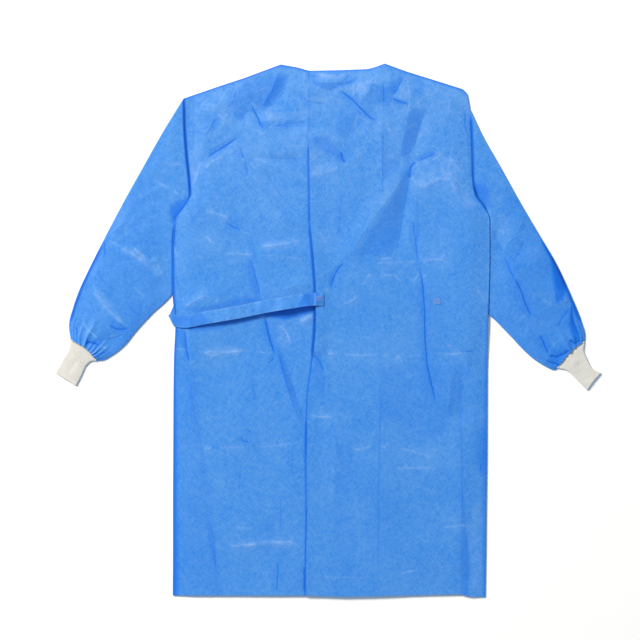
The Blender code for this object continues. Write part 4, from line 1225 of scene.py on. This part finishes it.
def make_back(side, cloth):
    """One half of the back; the right one laps over the left one."""
    left = side == "left"
    if left:
        sections = [("left_edge", "left_seam", PITCH), ("left_seam", "opening", PITCH),
                    ("opening", "underlap", HIDDEN_PITCH)]
    else:
        sections = [("opening", "underlap", PITCH), ("underlap", "right_seam", PITCH),
                    ("right_seam", "right_edge", PITCH)]
    plan, underarm = body_grid(sections, LEFT_TIP_Y if left else RIGHT_TIP_Y, PITCH)
    seam_line = side + "_seam"
    seam = int(np.argmin(np.abs(plan[:, -1, 0] - body_line(seam_line, HEM_Y))))
    x, y = plan[..., 0], plan[..., 1]
    z, looks = top_of_back(x, y)
    if not left:
        z = z + overlap_step(x, y) + free_edge_lift(x, y)
    # Painted shade along the right half's free edge
    looks[..., 0] += opening_shade(x, y)
    # Seams pull the cloth down: at the shoulder, the armhole and the side.
    z = rolled_down(z, edge_y(TOP_EDGE, x) - y, SHOULDER_EDGE, SHOULDER_ROLL)
    from_armhole = np.abs(x - body_line(side + "_edge", y))
    above = ease(ARMHOLE_ENDS, ARMHOLE_ENDS + GROOVE_FADE, y)
    z = z + (rolled_down(z, from_armhole, *GROOVES[side]) - z) * above
    from_seam = np.abs(x - body_line(seam_line, y))
    z = z - SEAM_DIPS[side] * bell(from_seam, SEAM_DIP_WIDTH) * (1 - above)
    # Painted shade in the armhole groove
    looks[..., 0] += armhole_shade(side, x, y) * ease(UNDERARM_Y - 10, UNDERARM_Y, y)
    plan[seam, underarm:, 0] += SEAM_GAP if left else -SEAM_GAP
    outside = slice(0, seam + 1) if left else slice(seam, None)
    plan[outside, underarm, 1] += SEAM_GAP
    columns, rows = plan.shape[:2]
    ids = np.arange(columns * rows).reshape(columns, rows)
    panel = slice(seam, None) if left else slice(0, seam + 1)
    faces = np.concatenate([grid_faces(ids[panel]), grid_faces(ids[outside, : underarm + 1])])
    handled = painted_light_and_crinkling_at(y)
    piece = shell("back_" + side + "_cloth", with_height(plan, z), with_height(plan, z - SHELL),
                  faces, cloth, {**looks_by_name(looks), "handled": handled})
    return piece


def make_front(cloth):
    """The front on the table, and its sides folded over to the seams on the back."""
    sections = [("left_edge", "left_seam", PITCH), ("left_seam", "opening", HIDDEN_FRONT_PITCH),
                ("opening", "underlap", HIDDEN_FRONT_PITCH),
                ("underlap", "right_seam", HIDDEN_FRONT_PITCH),
                ("right_seam", "right_edge", PITCH)]
    plan, underarm = body_grid(sections, LEFT_TIP_Y, PITCH, scooped=True)
    low = lift(plan[..., 0], plan[..., 1])
    # The front's own side columns are few: its strips on the back carry the fine ones.
    edge_columns = len(spread(body_line("left_edge", 0.0), body_line("left_seam", 0.0), PITCH))
    columns, rows = plan.shape[:2]
    outer, inner = [with_height(plan, low)], [with_height(plan, low + SHELL)]
    bottom = np.arange(columns * rows).reshape(columns, rows)
    faces = [grid_faces(bottom)[:, ::-1]]
    looks = [np.tile(PLAIN, (bottom.size, 1))]
    start = columns * rows
    right_columns = len(spread(body_line("right_seam", 0.0), body_line("right_edge", 0.0), PITCH))
    for edge, strip, outward, seam_line in (
        (0, plan[:edge_columns, underarm:], -1.0, "left_seam"),
        (columns - 1, plan[columns - right_columns :, underarm:], 1.0, "right_seam"),
    ):
        x, y = strip[..., 0], strip[..., 1]
        z, top_looks = top_of_back(x, y)
        dip = SEAM_DIPS["left" if edge == 0 else "right"]
        z = z - dip * bell(np.abs(x - body_line(seam_line, y)), SEAM_DIP_WIDTH)
        edge_low = low[edge, underarm:]
        top_edge = z[0 if edge == 0 else -1]
        away = np.tile([outward, 0.0], (len(edge_low), 1))
        turns = turned_edge(plan[edge, underarm:], away, edge_low, top_edge, SHELL)
        tops = [with_height(strip, z - inward) for inward in (0, SHELL)]
        for skin, turn, top in zip((outer, inner), turns, tops):
            skin += [turn[::-1], top] if edge == 0 else [top, turn]
        count = (len(TURN_ANGLES) + len(strip)) * strip.shape[1]
        more = np.arange(start, start + count).reshape(-1, strip.shape[1])
        joint = bottom[edge, underarm:][None]
        faces.append(grid_faces(np.concatenate([joint, more] if edge == 0 else [more, joint])))
        side = "left" if edge == 0 else "right"
        # Painted shade by the armhole and along the body's side, on the strip and its turned edge
        top_looks[..., 0] += armhole_shade(side, x, y)
        turn_looks = np.tile(PLAIN, (len(TURN_ANGLES), strip.shape[1], 1))
        turn_looks[..., 0] = armhole_shade(side, *plan[edge, underarm:].T)
        looks += [turn_looks, top_looks] if edge == 0 else [top_looks, turn_looks]
        start += count
    skins = [np.concatenate([part.reshape(-1, 3) for part in skin]) for skin in (outer, inner)]
    looks = np.concatenate([part.reshape(-1, len(LOOKS)) for part in looks])
    handled = painted_light_and_crinkling_at(skins[0][:, 1])
    return shell("front_cloth", *skins, np.concatenate(faces), cloth,
                 {**looks_by_name(looks), "handled": handled})


# ---------------------------------------------------------------- Sleeves and cuffs


def patch(top, bottom, left, right, down):
    """A Coons patch, [down, across, xy]: straight blends between its four edges, made to agree.

    down is how far down the patch, from 0 to 1, each point of its left and right edges is.
    """
    across = np.linspace(0, 1, len(top))[None, :, None]
    down = down[:, None, None]
    between_ends = (1 - down) * top[None] + down * bottom[None]
    between_sides = (1 - across) * left[:, None] + across * right[:, None]
    corners = (1 - down) * ((1 - across) * top[0] + across * top[-1])
    corners = corners + down * ((1 - across) * bottom[0] + across * bottom[-1])
    return between_ends + between_sides - corners


def outward_of(plan, edge):
    """Unit directions in plan that point out of a patch at its first or last line across."""
    line = plan[:, edge]
    along = np.gradient(line, axis=0)
    normal = np.column_stack([along[:, 1], -along[:, 0]])
    outward = line - plan[:, 1 if edge == 0 else -2]
    normal *= np.sign((normal * outward).sum(1))[:, None]
    normal[[0, -1]] = outward[[0, -1]]
    return unit(normal)


def tube(name, plan, low, high, thick, material, looks, thinning):
    """A flat tube with both ends open: an upper and a lower layer and two folded edges.

    plan is [ring, across, xy]; low and high are the outer skins' heights there. The lower layer
    takes only every thinning-th line across. The cloth's own plan runs round and along the tube.
    """
    last = plan.shape[1] - 1
    far = turned_edge(plan[:, last], outward_of(plan, last), low[:, last], high[:, last], thick)
    near = turned_edge(plan[:, 0], outward_of(plan, 0), low[:, 0], high[:, 0], thick)
    sparse = np.unique(np.append(np.arange(0, last, thinning), last))[::-1]
    skins = []
    for k, inward in ((0, 0.0), (1, thick)):
        upper = with_height(plan, high - inward)
        lower = with_height(plan, low + inward)[:, sparse]
        round_far = far[k].transpose(1, 0, 2)
        round_near = near[k].transpose(1, 0, 2)[:, ::-1]
        skins.append(np.concatenate([upper, round_far, lower, round_near], axis=1))
    rings, around = skins[0].shape[:2]
    ids = np.arange(rings * around).reshape(rings, around)
    every_look = np.tile(PLAIN, (rings, around, 1))
    every_look[:, : last + 1] = looks
    runs = [
        np.cumsum(np.linalg.norm(np.diff(skins[0], axis=axis, prepend=0), axis=2), axis=axis)
        for axis in (1, 0)
    ]
    runs = [runs[0] - runs[0][:, :1], runs[1] - runs[1][:1]]
    cloth_plan = np.stack([runs[0], np.tile(runs[1][:, last // 2 : last // 2 + 1], (1, around))],
                          axis=-1)
    handled = painted_light_and_crinkling_at(skins[0][..., 1]) * SLEEVE_PAINTED_LIGHT_AND_CRINKLING
    return shell(name, *skins, grid_faces(np.concatenate([ids, ids[:, :1]], axis=1)), material,
                 {**looks_by_name(every_look), "handled": handled}, cloth_plan)


def sleeve_plan(side, pitch, across):
    """Plan points of a sleeve, from the armhole to the wrist and from outer to inner edge."""
    shape = SLEEVES[side]
    edge, tip_y, away = (("left_edge", LEFT_TIP_Y, -SEAM_GAP) if side == "left"
                         else ("right_edge", RIGHT_TIP_Y, SEAM_GAP))
    tucked_count = int(across * TUCKED_SHARE)
    y = np.linspace(tip_y, UNDERARM_Y, across - tucked_count)
    armhole = np.column_stack([body_line(edge, y) + away, y])
    tucked = route(shape.tucked, np.linspace(0, 1, tucked_count + 1))[1:] + [away, 0]
    end = np.concatenate([armhole, tucked])
    wrist = route(shape.wrist, np.linspace(0, 1, across))
    rings = spread(0, SLEEVE_LENGTH, pitch)
    rings = rings - RINGS_SHIFT * np.sin(2 * np.pi * rings)  # closer at both ends
    outer = route([end[0], *shape.outer, shape.wrist[0]], rings)
    inner = route([end[-1], *shape.inner, shape.wrist[-1]], rings)
    plan = patch(end, wrist, outer, inner, rings)
    plan[:EVENED_RINGS] = evened(plan[:EVENED_RINGS], EVENED_ROUNDS)
    return plan


def evened(plan, rounds):
    """The same plan with the lines inside it spread so that none folds over another.

    A round moves each inner point 0.9 of its way to the smooth grid: the sum of the neighbours
    down times the squared step across, plus that of the neighbours across times the squared step
    down, less twice the product of both steps times their mixed difference, over twice the sum
    of the squared steps.
    """
    plan = plan.copy()
    for _ in range(rounds):
        up, on, back, ahead = plan[:-2, 1:-1], plan[2:, 1:-1], plan[1:-1, :-2], plan[1:-1, 2:]
        down, across = (on - up) / 2, (ahead - back) / 2
        mixed = (plan[2:, 2:] - plan[2:, :-2] - plan[:-2, 2:] + plan[:-2, :-2]) / 4
        wide = (across**2).sum(-1, keepdims=True)
        long = (down**2).sum(-1, keepdims=True)
        skew = (across * down).sum(-1, keepdims=True)
        smooth = (wide * (on + up) + long * (ahead + back) - 2 * skew * mixed) / (2 * (wide + long))
        plan[1:-1, 1:-1] += 0.9 * (smooth - plan[1:-1, 1:-1])
    return plan


def gathered(down, across, seed):
    """Pleats at the wrist: crests with sharp feet, uneven, that fan out and die away upwards."""
    rng = np.random.default_rng(seed)
    shift = 0.5 * np.sin(2 * np.pi * (1.3 * across + rng.uniform()))
    waves = 1 - np.abs(np.sin(np.pi * (GATHERS * across + shift)))
    uneven = 0.65 + 0.35 * np.sin(2 * np.pi * (2.3 * across + rng.uniform()))
    fan = ease(1 - GATHERS_REACH * (0.7 + 0.5 * uneven), 1, down)
    return GATHER_HEIGHT * fan * uneven * waves


def rolled_edge(side, x, y):
    """1 along the lower part of a sleeve's outer edge, where the cloth rolls under and shade is
    painted.
    """
    line = np.array(SLEEVES[side].outer[3:], float)
    edge_x = np.interp(y, line[::-1, 1], line[::-1, 0])
    along = ease(10, 40, y) * (1 - ease(line[0, 1] - 40, line[0, 1], y))
    return along * bell(x - edge_x, SLEEVE_ROLL_WIDTH)


def make_sleeve(side, cloth):
    """A sleeve that stands a little off the table, creased along it and gathered at the wrist."""
    plan = sleeve_plan(side, PITCH, SLEEVE_ACROSS)
    rings, points = plan.shape[:2]
    down = np.linspace(0, 1, rings)[:, None]
    across = np.linspace(0, 1, points)[None, :]
    x, y = plan[..., 0], plan[..., 1]
    bulge = np.sin(np.pi * across) ** SLEEVE_BULGE
    loft = ease(LOFT_STARTS, LOFT_FULL, down) * bulge * SLEEVE_LOFT
    folds, looks = creased(SLEEVE_CREASES[side], x, y)
    swells, crumples = SLEEVE_SWELLS[side], SLEEVE_CRUMPLES[side]
    soft = swells.height * ripples(x, y, swells.seed, SLEEVE_SWELL_SHORTEST, SLEEVE_SWELL_LONGEST,
                                   SLEEVE_SWELL_WAVES)
    fine = crumples.height * crumple(x, y, crumples.seed, SLEEVE_CRUMPLE_SIZE)
    edges = ease(0, SLEEVE_EDGE, across) * ease(0, SLEEVE_EDGE, 1 - across)
    edges = edges * ease(SLEEVE_START, SLEEVE_EDGE, down)
    pleats = gathered(down, across, GATHER_SEED)
    high = FLAT + loft + (folds + soft + fine + SLEEVE_RISE) * edges + pleats * bulge
    tucked = body_line("left_edge", y) - TUCKED_WITHIN < x if side == "left" else (
        x < body_line("right_edge", y) + TUCKED_WITHIN)
    high = np.where(tucked, np.minimum(high, TUCK_LIFT - TUCKED_CLEAR), high)
    high = np.maximum(high, LEAST_SLEEVE)
    from_armhole = np.abs(x - body_line(side + "_edge", y))
    above = ease(ARMHOLE_ENDS, ARMHOLE_ENDS + GROOVE_FADE, y)
    high = high + (rolled_down(high, from_armhole, *GROOVES[side]) - high) * above
    # Painted light and shade: the facets, the armhole groove, the rolled edge and the whole sleeve
    looks[..., 0] += tone(SLEEVE_PAINTED_FACETS[side], x, y)
    looks[..., 0] += armhole_shade(side, x, y) - SLEEVE_ROLL_SHADE * rolled_edge(side, x, y)
    looks[..., 0] -= SLEEVE_SHADE * ease(0, 0.5, down)
    low = np.zeros((rings, points))
    return tube("sleeve_" + side + "_cloth", plan, low, high, SHELL, cloth, looks, 3)


def cuff_plan(side, rings, across):
    """Plan points of a cuff, from the wrist seam to its open end."""
    shape, sleeve = CUFFS[side], SLEEVES[side]
    start = route(sleeve.wrist, np.linspace(0, 1, across))
    end = route(shape.end, np.linspace(0, 1, across))
    onward = (end.mean(0) - start.mean(0)) / np.linalg.norm(end.mean(0) - start.mean(0))
    start = start + onward * 2 * SEAM_GAP
    shares = np.linspace(0, 1, rings)
    outer = route([start[0], *shape.outer, shape.end[0]], shares)
    inner = route([start[-1], *shape.inner, shape.end[-1]], shares)
    return patch(start, end, outer, inner, shares)


def make_cuff(side, knit):
    """A knitted cuff, its ribs running along it."""
    plan = cuff_plan(side, CUFF_RINGS, CUFF_ACROSS)
    rings, points = plan.shape[:2]
    down = np.linspace(0, 1, rings)[:, None]
    across = np.linspace(0, 1, points)[None, :]
    wide = np.linalg.norm(plan[0, 0] - plan[0, -1])
    ribs = RIB_HEIGHT * np.cos(2 * np.pi * across * np.round(wide / RIB_PITCH))
    folds, _ = creased(CUFF_CREASES[side], plan[..., 0], plan[..., 1])
    bulge = np.sin(np.pi * across) ** CUFF_BULGE
    high = 2 * KNIT + LAYER_GAP + (CUFF_LOFT + folds + ribs) * bulge
    high = high - CUFF_SEAM_DIP * bell(down, CUFF_SEAM_REACH)
    high = high + CUFF_HEM_RISE * bell(1 - down, CUFF_HEM_REACH)
    low = np.zeros((rings, points))
    looks = np.tile(PLAIN, (rings, points, 1))
    return tube("cuff_" + side + "_knit", plan, low, high, KNIT_SHELL, knit, looks, 4)


def make_wrist_thread(side, thread):
    """The overlock thread at the wrist: a round thread that zigzags over the seam all the way."""
    known = np.linspace(0, 1, 60)
    line = route(SLEEVES[side].wrist, known)
    turns, sides, radius, swing = 64, 6, 0.5, 1.4
    low, arch, into_cuff = 3.6, 0.5, -0.4
    steps = turns * 4
    t = np.linspace(0, 1, steps + 1)
    middle = np.stack([np.interp(t, known, line[:, k]) for k in (0, 1)], axis=-1)
    middle += np.array([0.0, into_cuff])
    along = unit(np.gradient(middle, axis=0))
    outward = np.column_stack([along[:, 1], -along[:, 0]])
    zigzag = 2 * np.abs(2 * ((t * turns) % 1) - 1) - 1
    centre = middle + outward * (zigzag * swing)[:, None]
    height = low + arch * np.sin(np.pi * t)
    path = np.column_stack([centre, height])
    ahead = unit(np.gradient(path, axis=0))
    flat = unit(np.cross(ahead, [0, 0, 1.0]))
    upright = np.cross(flat, ahead)
    angle = np.linspace(0, 2 * np.pi, sides, endpoint=False)
    rings = path[:, None] + radius * (flat[:, None] * np.cos(angle)[None, :, None]
                                      + upright[:, None] * np.sin(angle)[None, :, None])
    return rod("wrist_thread_" + side, rings, thread)


def rod(name, rings, material):
    """A closed rod through rings of points, [ring, corner, xyz], with a fan over each end."""
    count, corners = rings.shape[:2]
    points = np.concatenate([rings.reshape(-1, 3), [rings[0].mean(0), rings[-1].mean(0)]])
    ids = np.arange(count * corners).reshape(count, corners)
    walls = grid_faces(np.concatenate([ids, ids[:, :1]], axis=1))
    caps = [
        [int(a), int(b), tip] for ring, tip in ((ids[0], count * corners),
                                                (ids[-1][::-1], count * corners + 1))
        for a, b in zip(ring, np.roll(ring, -1))
    ]
    mesh = bpy.data.meshes.new(name)
    mesh.from_pydata((points * MM).tolist(), [], walls.tolist() + caps)
    if mesh_is_inside_out(mesh):
        mesh.flip_normals()
    mesh.shade_smooth()
    mesh.materials.append(material)
    return put(name, mesh)


# ---------------------------------------------------------------- Tie and welds


def cloth_top(x, y):
    """Height of the uppermost cloth of the back at each point."""
    z, _ = top_of_back(x, y)
    over = x > body_line("opening", y)
    return np.where(over, z + overlap_step(x, y) + free_edge_lift(x, y), z)


def smoothed(values, reach):
    """Each value's average with those up to this many steps before and after it."""
    window = np.ones(2 * reach + 1) / (2 * reach + 1)
    return np.convolve(np.pad(values, reach, mode="edge"), window, mode="valid")


def make_tie(cloth):
    """The waist tie, from its welded end over the back, round the left side and under it."""
    half = TIE_WIDTH / 2
    fold = np.array([TIE_FOLD_UPPER, TIE_FOLD_LOWER], float)
    middle = route([*TIE_LINE, fold.mean(0)], np.linspace(0, 1, TIE_STEPS))
    along = unit(np.gradient(middle, axis=0))
    sideways = np.column_stack([along[:, 1], -along[:, 0]])  # towards the upper edge
    across = np.linspace(1, -1, TIE_ACROSS)
    over = middle[:, None] + sideways[:, None] * (half * across)[None, :, None]
    # The last stretch slants to the line that the tie is folded along.
    slanted = fold[0] + (fold[1] - fold[0]) * ((1 - across) / 2)[:, None]
    share = ease(TIE_SLANTS, 1.0, np.linspace(0, 1, len(middle)))[:, None, None]
    over = over * (1 - share) + slanted[None] * share

    below = cloth_top(over[..., 0], over[..., 1])
    highest = below.max(axis=1)
    level_z = np.maximum(smoothed(highest, TIE_LEVEL_REACH), highest) + TIE_CLEAR
    # Its lower edge stands up more than its upper one, which lies nearly on the cloth.
    tilt = ((1 - across) / 2)[None]
    stands = [
        smoothed(profile(table, middle[:, 0]), TIE_STAND_REACH)[:, None]
        for table in (TIE_UPPER_STANDS, TIE_LOWER_STANDS)
    ]
    z = level_z[:, None] + stands[0] * (1 - tilt) + stands[1] * tilt
    z = z + TIE_WAVES * ripples(over[..., 0], over[..., 1], TIE_WAVE_SEED, TIE_WAVE_SHORTEST,
                                TIE_WAVE_LONGEST, TIE_WAVE_COUNT)
    rounded = TIE_CROWN * (1 - np.abs(across) ** 6)
    z = z + rounded[None]
    crossing, _ = creased(TIE_CREASES, over[..., 0], over[..., 1])
    z = z + crossing
    top = z[-1] + SHELL
    slant = (fold[1] - fold[0]) / np.linalg.norm(fold[1] - fold[0])
    onward = 2 * (along[-2] @ slant) * slant - along[-2]
    out = np.array([slant[1], -slant[0]])
    out *= -np.sign(out @ onward)
    turns = turned_edge(over[-1], np.tile(out, (len(across), 1)), np.zeros(len(across)), top,
                        SHELL)
    shares = np.linspace(0, 1, TIE_HIDDEN_STEPS)[:, None, None]
    hidden = over[-1][None] + onward * TIE_HIDDEN_LENGTH * shares
    floor = np.zeros(hidden.shape[:2])
    outer = [with_height(over, z + SHELL), turns[0], with_height(hidden, floor)]
    inner = [with_height(over, z), turns[1], with_height(hidden, floor + SHELL)]
    skins = [np.concatenate(parts) for parts in (outer, inner)]
    ids = np.arange(skins[0].shape[0] * len(across)).reshape(-1, len(across))
    looks = np.tile(PLAIN, (*ids.shape, 1))
    looks[..., 0] = TIE_EDGE_TONE * bell(1 - np.abs(across), TIE_EDGE_REACH)
    # Painted light and shade on the tie, and painted shade over all of it
    looks[: len(middle), :, 0] += tone(TIE_PAINTED_FACETS, over[..., 0], over[..., 1]) + TIE_TONE
    handled = np.zeros(ids.shape)
    return shell("waist_tie_cloth", *skins, grid_faces(ids), cloth,
                 {**looks_by_name(looks), "handled": handled}), skins[0]


def make_weld(name, centre, top_at, weld):
    """A square patch with rounded corners that follows the cloth it is pressed into."""
    count = WELD_POINTS
    side = np.linspace(-1, 1, count)
    u, v = np.meshgrid(side, side, indexing="ij")
    # Brings the square's corners in, so that they are round.
    u, v = u * np.sqrt(1 - WELD_ROUNDING * v * v), v * np.sqrt(1 - WELD_ROUNDING * u * u)
    plan = np.stack([centre[0] + u * WELD_SIDE / 2, centre[1] + v * WELD_SIDE / 2], axis=-1)
    under = top_at(plan[..., 0], plan[..., 1])
    rim = np.maximum(np.abs(u), np.abs(v))
    low = under + WELD_LIFT
    top = low + WELD_RIM + (WELD_THICK - WELD_INSET) * (1 - rim**8)
    ids = np.arange(count * count).reshape(count, count)
    return shell(name, with_height(plan, top), with_height(plan, low), grid_faces(ids), weld)


def nearest_height(points):
    """A function that gives the height of the nearest of these points, in plan."""
    flat = points.reshape(-1, 3)
    blur = 4.0

    def height(x, y):
        """The points' average height, weighed by the inverse cube of the squared distance."""
        gap = (x[..., None] - flat[:, 0]) ** 2 + (y[..., None] - flat[:, 1]) ** 2
        weight = 1 / (gap + blur) ** 3
        return (weight * flat[:, 2]).sum(-1) / weight.sum(-1)

    return height


# ---------------------------------------------------------------- The room


VIEW_PIXELS = 640  # across the picture that the camera takes
PIXEL_SIZE = 2.26  # on the table
VIEW_WIDTH = VIEW_PIXELS * PIXEL_SIZE * MM
VIEW_CENTRE = Vector((-18.1, 23.2, 0)) * MM
CAMERA_HEIGHT = 4.5
KEY_PLACE, KEY_SIZE, KEY_WATTS = (-6.2, 6.2, 5.9), 3.0, 1650
KEY_COLOUR = (1.15, 1.0, 0.79)
SKY_COLOUR = (0.74, 1.0, 1.3, 1)
SKY_STRENGTH = 0.4


def make_camera():
    """A long lens straight above the gown, with the neck at the top of the picture."""
    data = bpy.data.cameras.new("camera")
    data.sensor_fit = "HORIZONTAL"
    data.lens = data.sensor_width * CAMERA_HEIGHT / VIEW_WIDTH
    camera = put("camera", data)
    camera.location = VIEW_CENTRE + Vector((0, 0, CAMERA_HEIGHT))
    bpy.context.scene.camera = camera


def make_light(name, place, target, size, watts, colour):
    """A square area light that shines from its place towards a target."""
    data = bpy.data.lights.new(name, "AREA")
    data.shape = "SQUARE"
    data.size = size
    data.energy = watts
    data.color = colour
    light = put(name, data)
    light.location = place
    aim = Vector(target) - Vector(place)
    light.rotation_euler = aim.to_track_quat("-Z", "Y").to_euler()


def make_room():
    """A plain pale table top, a soft key light from beyond the neck, and an even sky."""
    half, below = 6.0, -0.0004
    mesh = bpy.data.meshes.new("table_top")
    corners = [(-half, -half, below), (half, -half, below), (half, half, below),
               (-half, half, below)]
    mesh.from_pydata(corners, [], [(0, 1, 2, 3)])
    table = put("table_top", mesh)
    material, shader, add, join = nodes_of("table_top")
    place = add("ShaderNodeTexCoord").outputs["Object"]
    join(blended(add, noise(add, place, 3), (0.93, 0.93, 0.93, 1), (0.95, 0.95, 0.95, 1)),
         "Base Color")
    shader.inputs["Roughness"].default_value = 0.9
    shader.inputs["Specular IOR Level"].default_value = 0.1
    mesh.materials.append(material)
    make_light("key", KEY_PLACE, (0, 0, 0), KEY_SIZE, KEY_WATTS, KEY_COLOUR)
    world = bpy.data.worlds.new("room")
    world.use_nodes = True
    world.node_tree.nodes["Background"].inputs["Color"].default_value = SKY_COLOUR
    world.node_tree.nodes["Background"].inputs["Strength"].default_value = SKY_STRENGTH
    bpy.context.scene.world = world
    bpy.context.scene.view_settings.view_transform = "Standard"
    bpy.context.scene.view_settings.look = "None"


# ---------------------------------------------------------------- Putting it together


def settle(piece, slot, *nodes):
    """Puts a piece on the gown's one body and hides the nodes it stands for. slot is not used."""
    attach(piece, "root")
    if nodes:
        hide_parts(*nodes)


def main():
    """Builds every piece, puts it on the gown's one body, and sets up the camera and the room."""
    cloth, knit = nonwoven_material(), knit_material()
    weld, thread = weld_material(), thread_material()

    front = make_front(cloth)
    settle(front, "nonwoven", "front_panel")

    back_left = make_back("left", cloth)
    settle(back_left, "nonwoven", "back_left")

    back_right = make_back("right", cloth)
    settle(back_right, "nonwoven", "back_right")

    for side in ("left", "right"):
        sleeve = make_sleeve(side, cloth)
        settle(sleeve, "nonwoven", "sleeve_" + side)
        cuff = make_cuff(side, knit)
        settle(cuff, "knit", "cuff_" + side)
        stitches = make_wrist_thread(side, thread)
        settle(stitches, "knit")

    tie, tie_points = make_tie(cloth)
    settle(tie, "nonwoven", "waist_tie")
    by_the_weld = nearest_height(tie_points[:TIE_WELD_STEPS])
    tie_weld = make_weld("tie_weld_patch", TIE_WELD_AT, by_the_weld, weld)
    settle(tie_weld, "weld", "tie_weld")
    inner_weld = make_weld("inner_tie_weld_patch", INNER_TIE_WELD_AT, cloth_top, weld)
    settle(inner_weld, "weld", "inner_tie_weld")

    make_camera()
    make_room()


main()
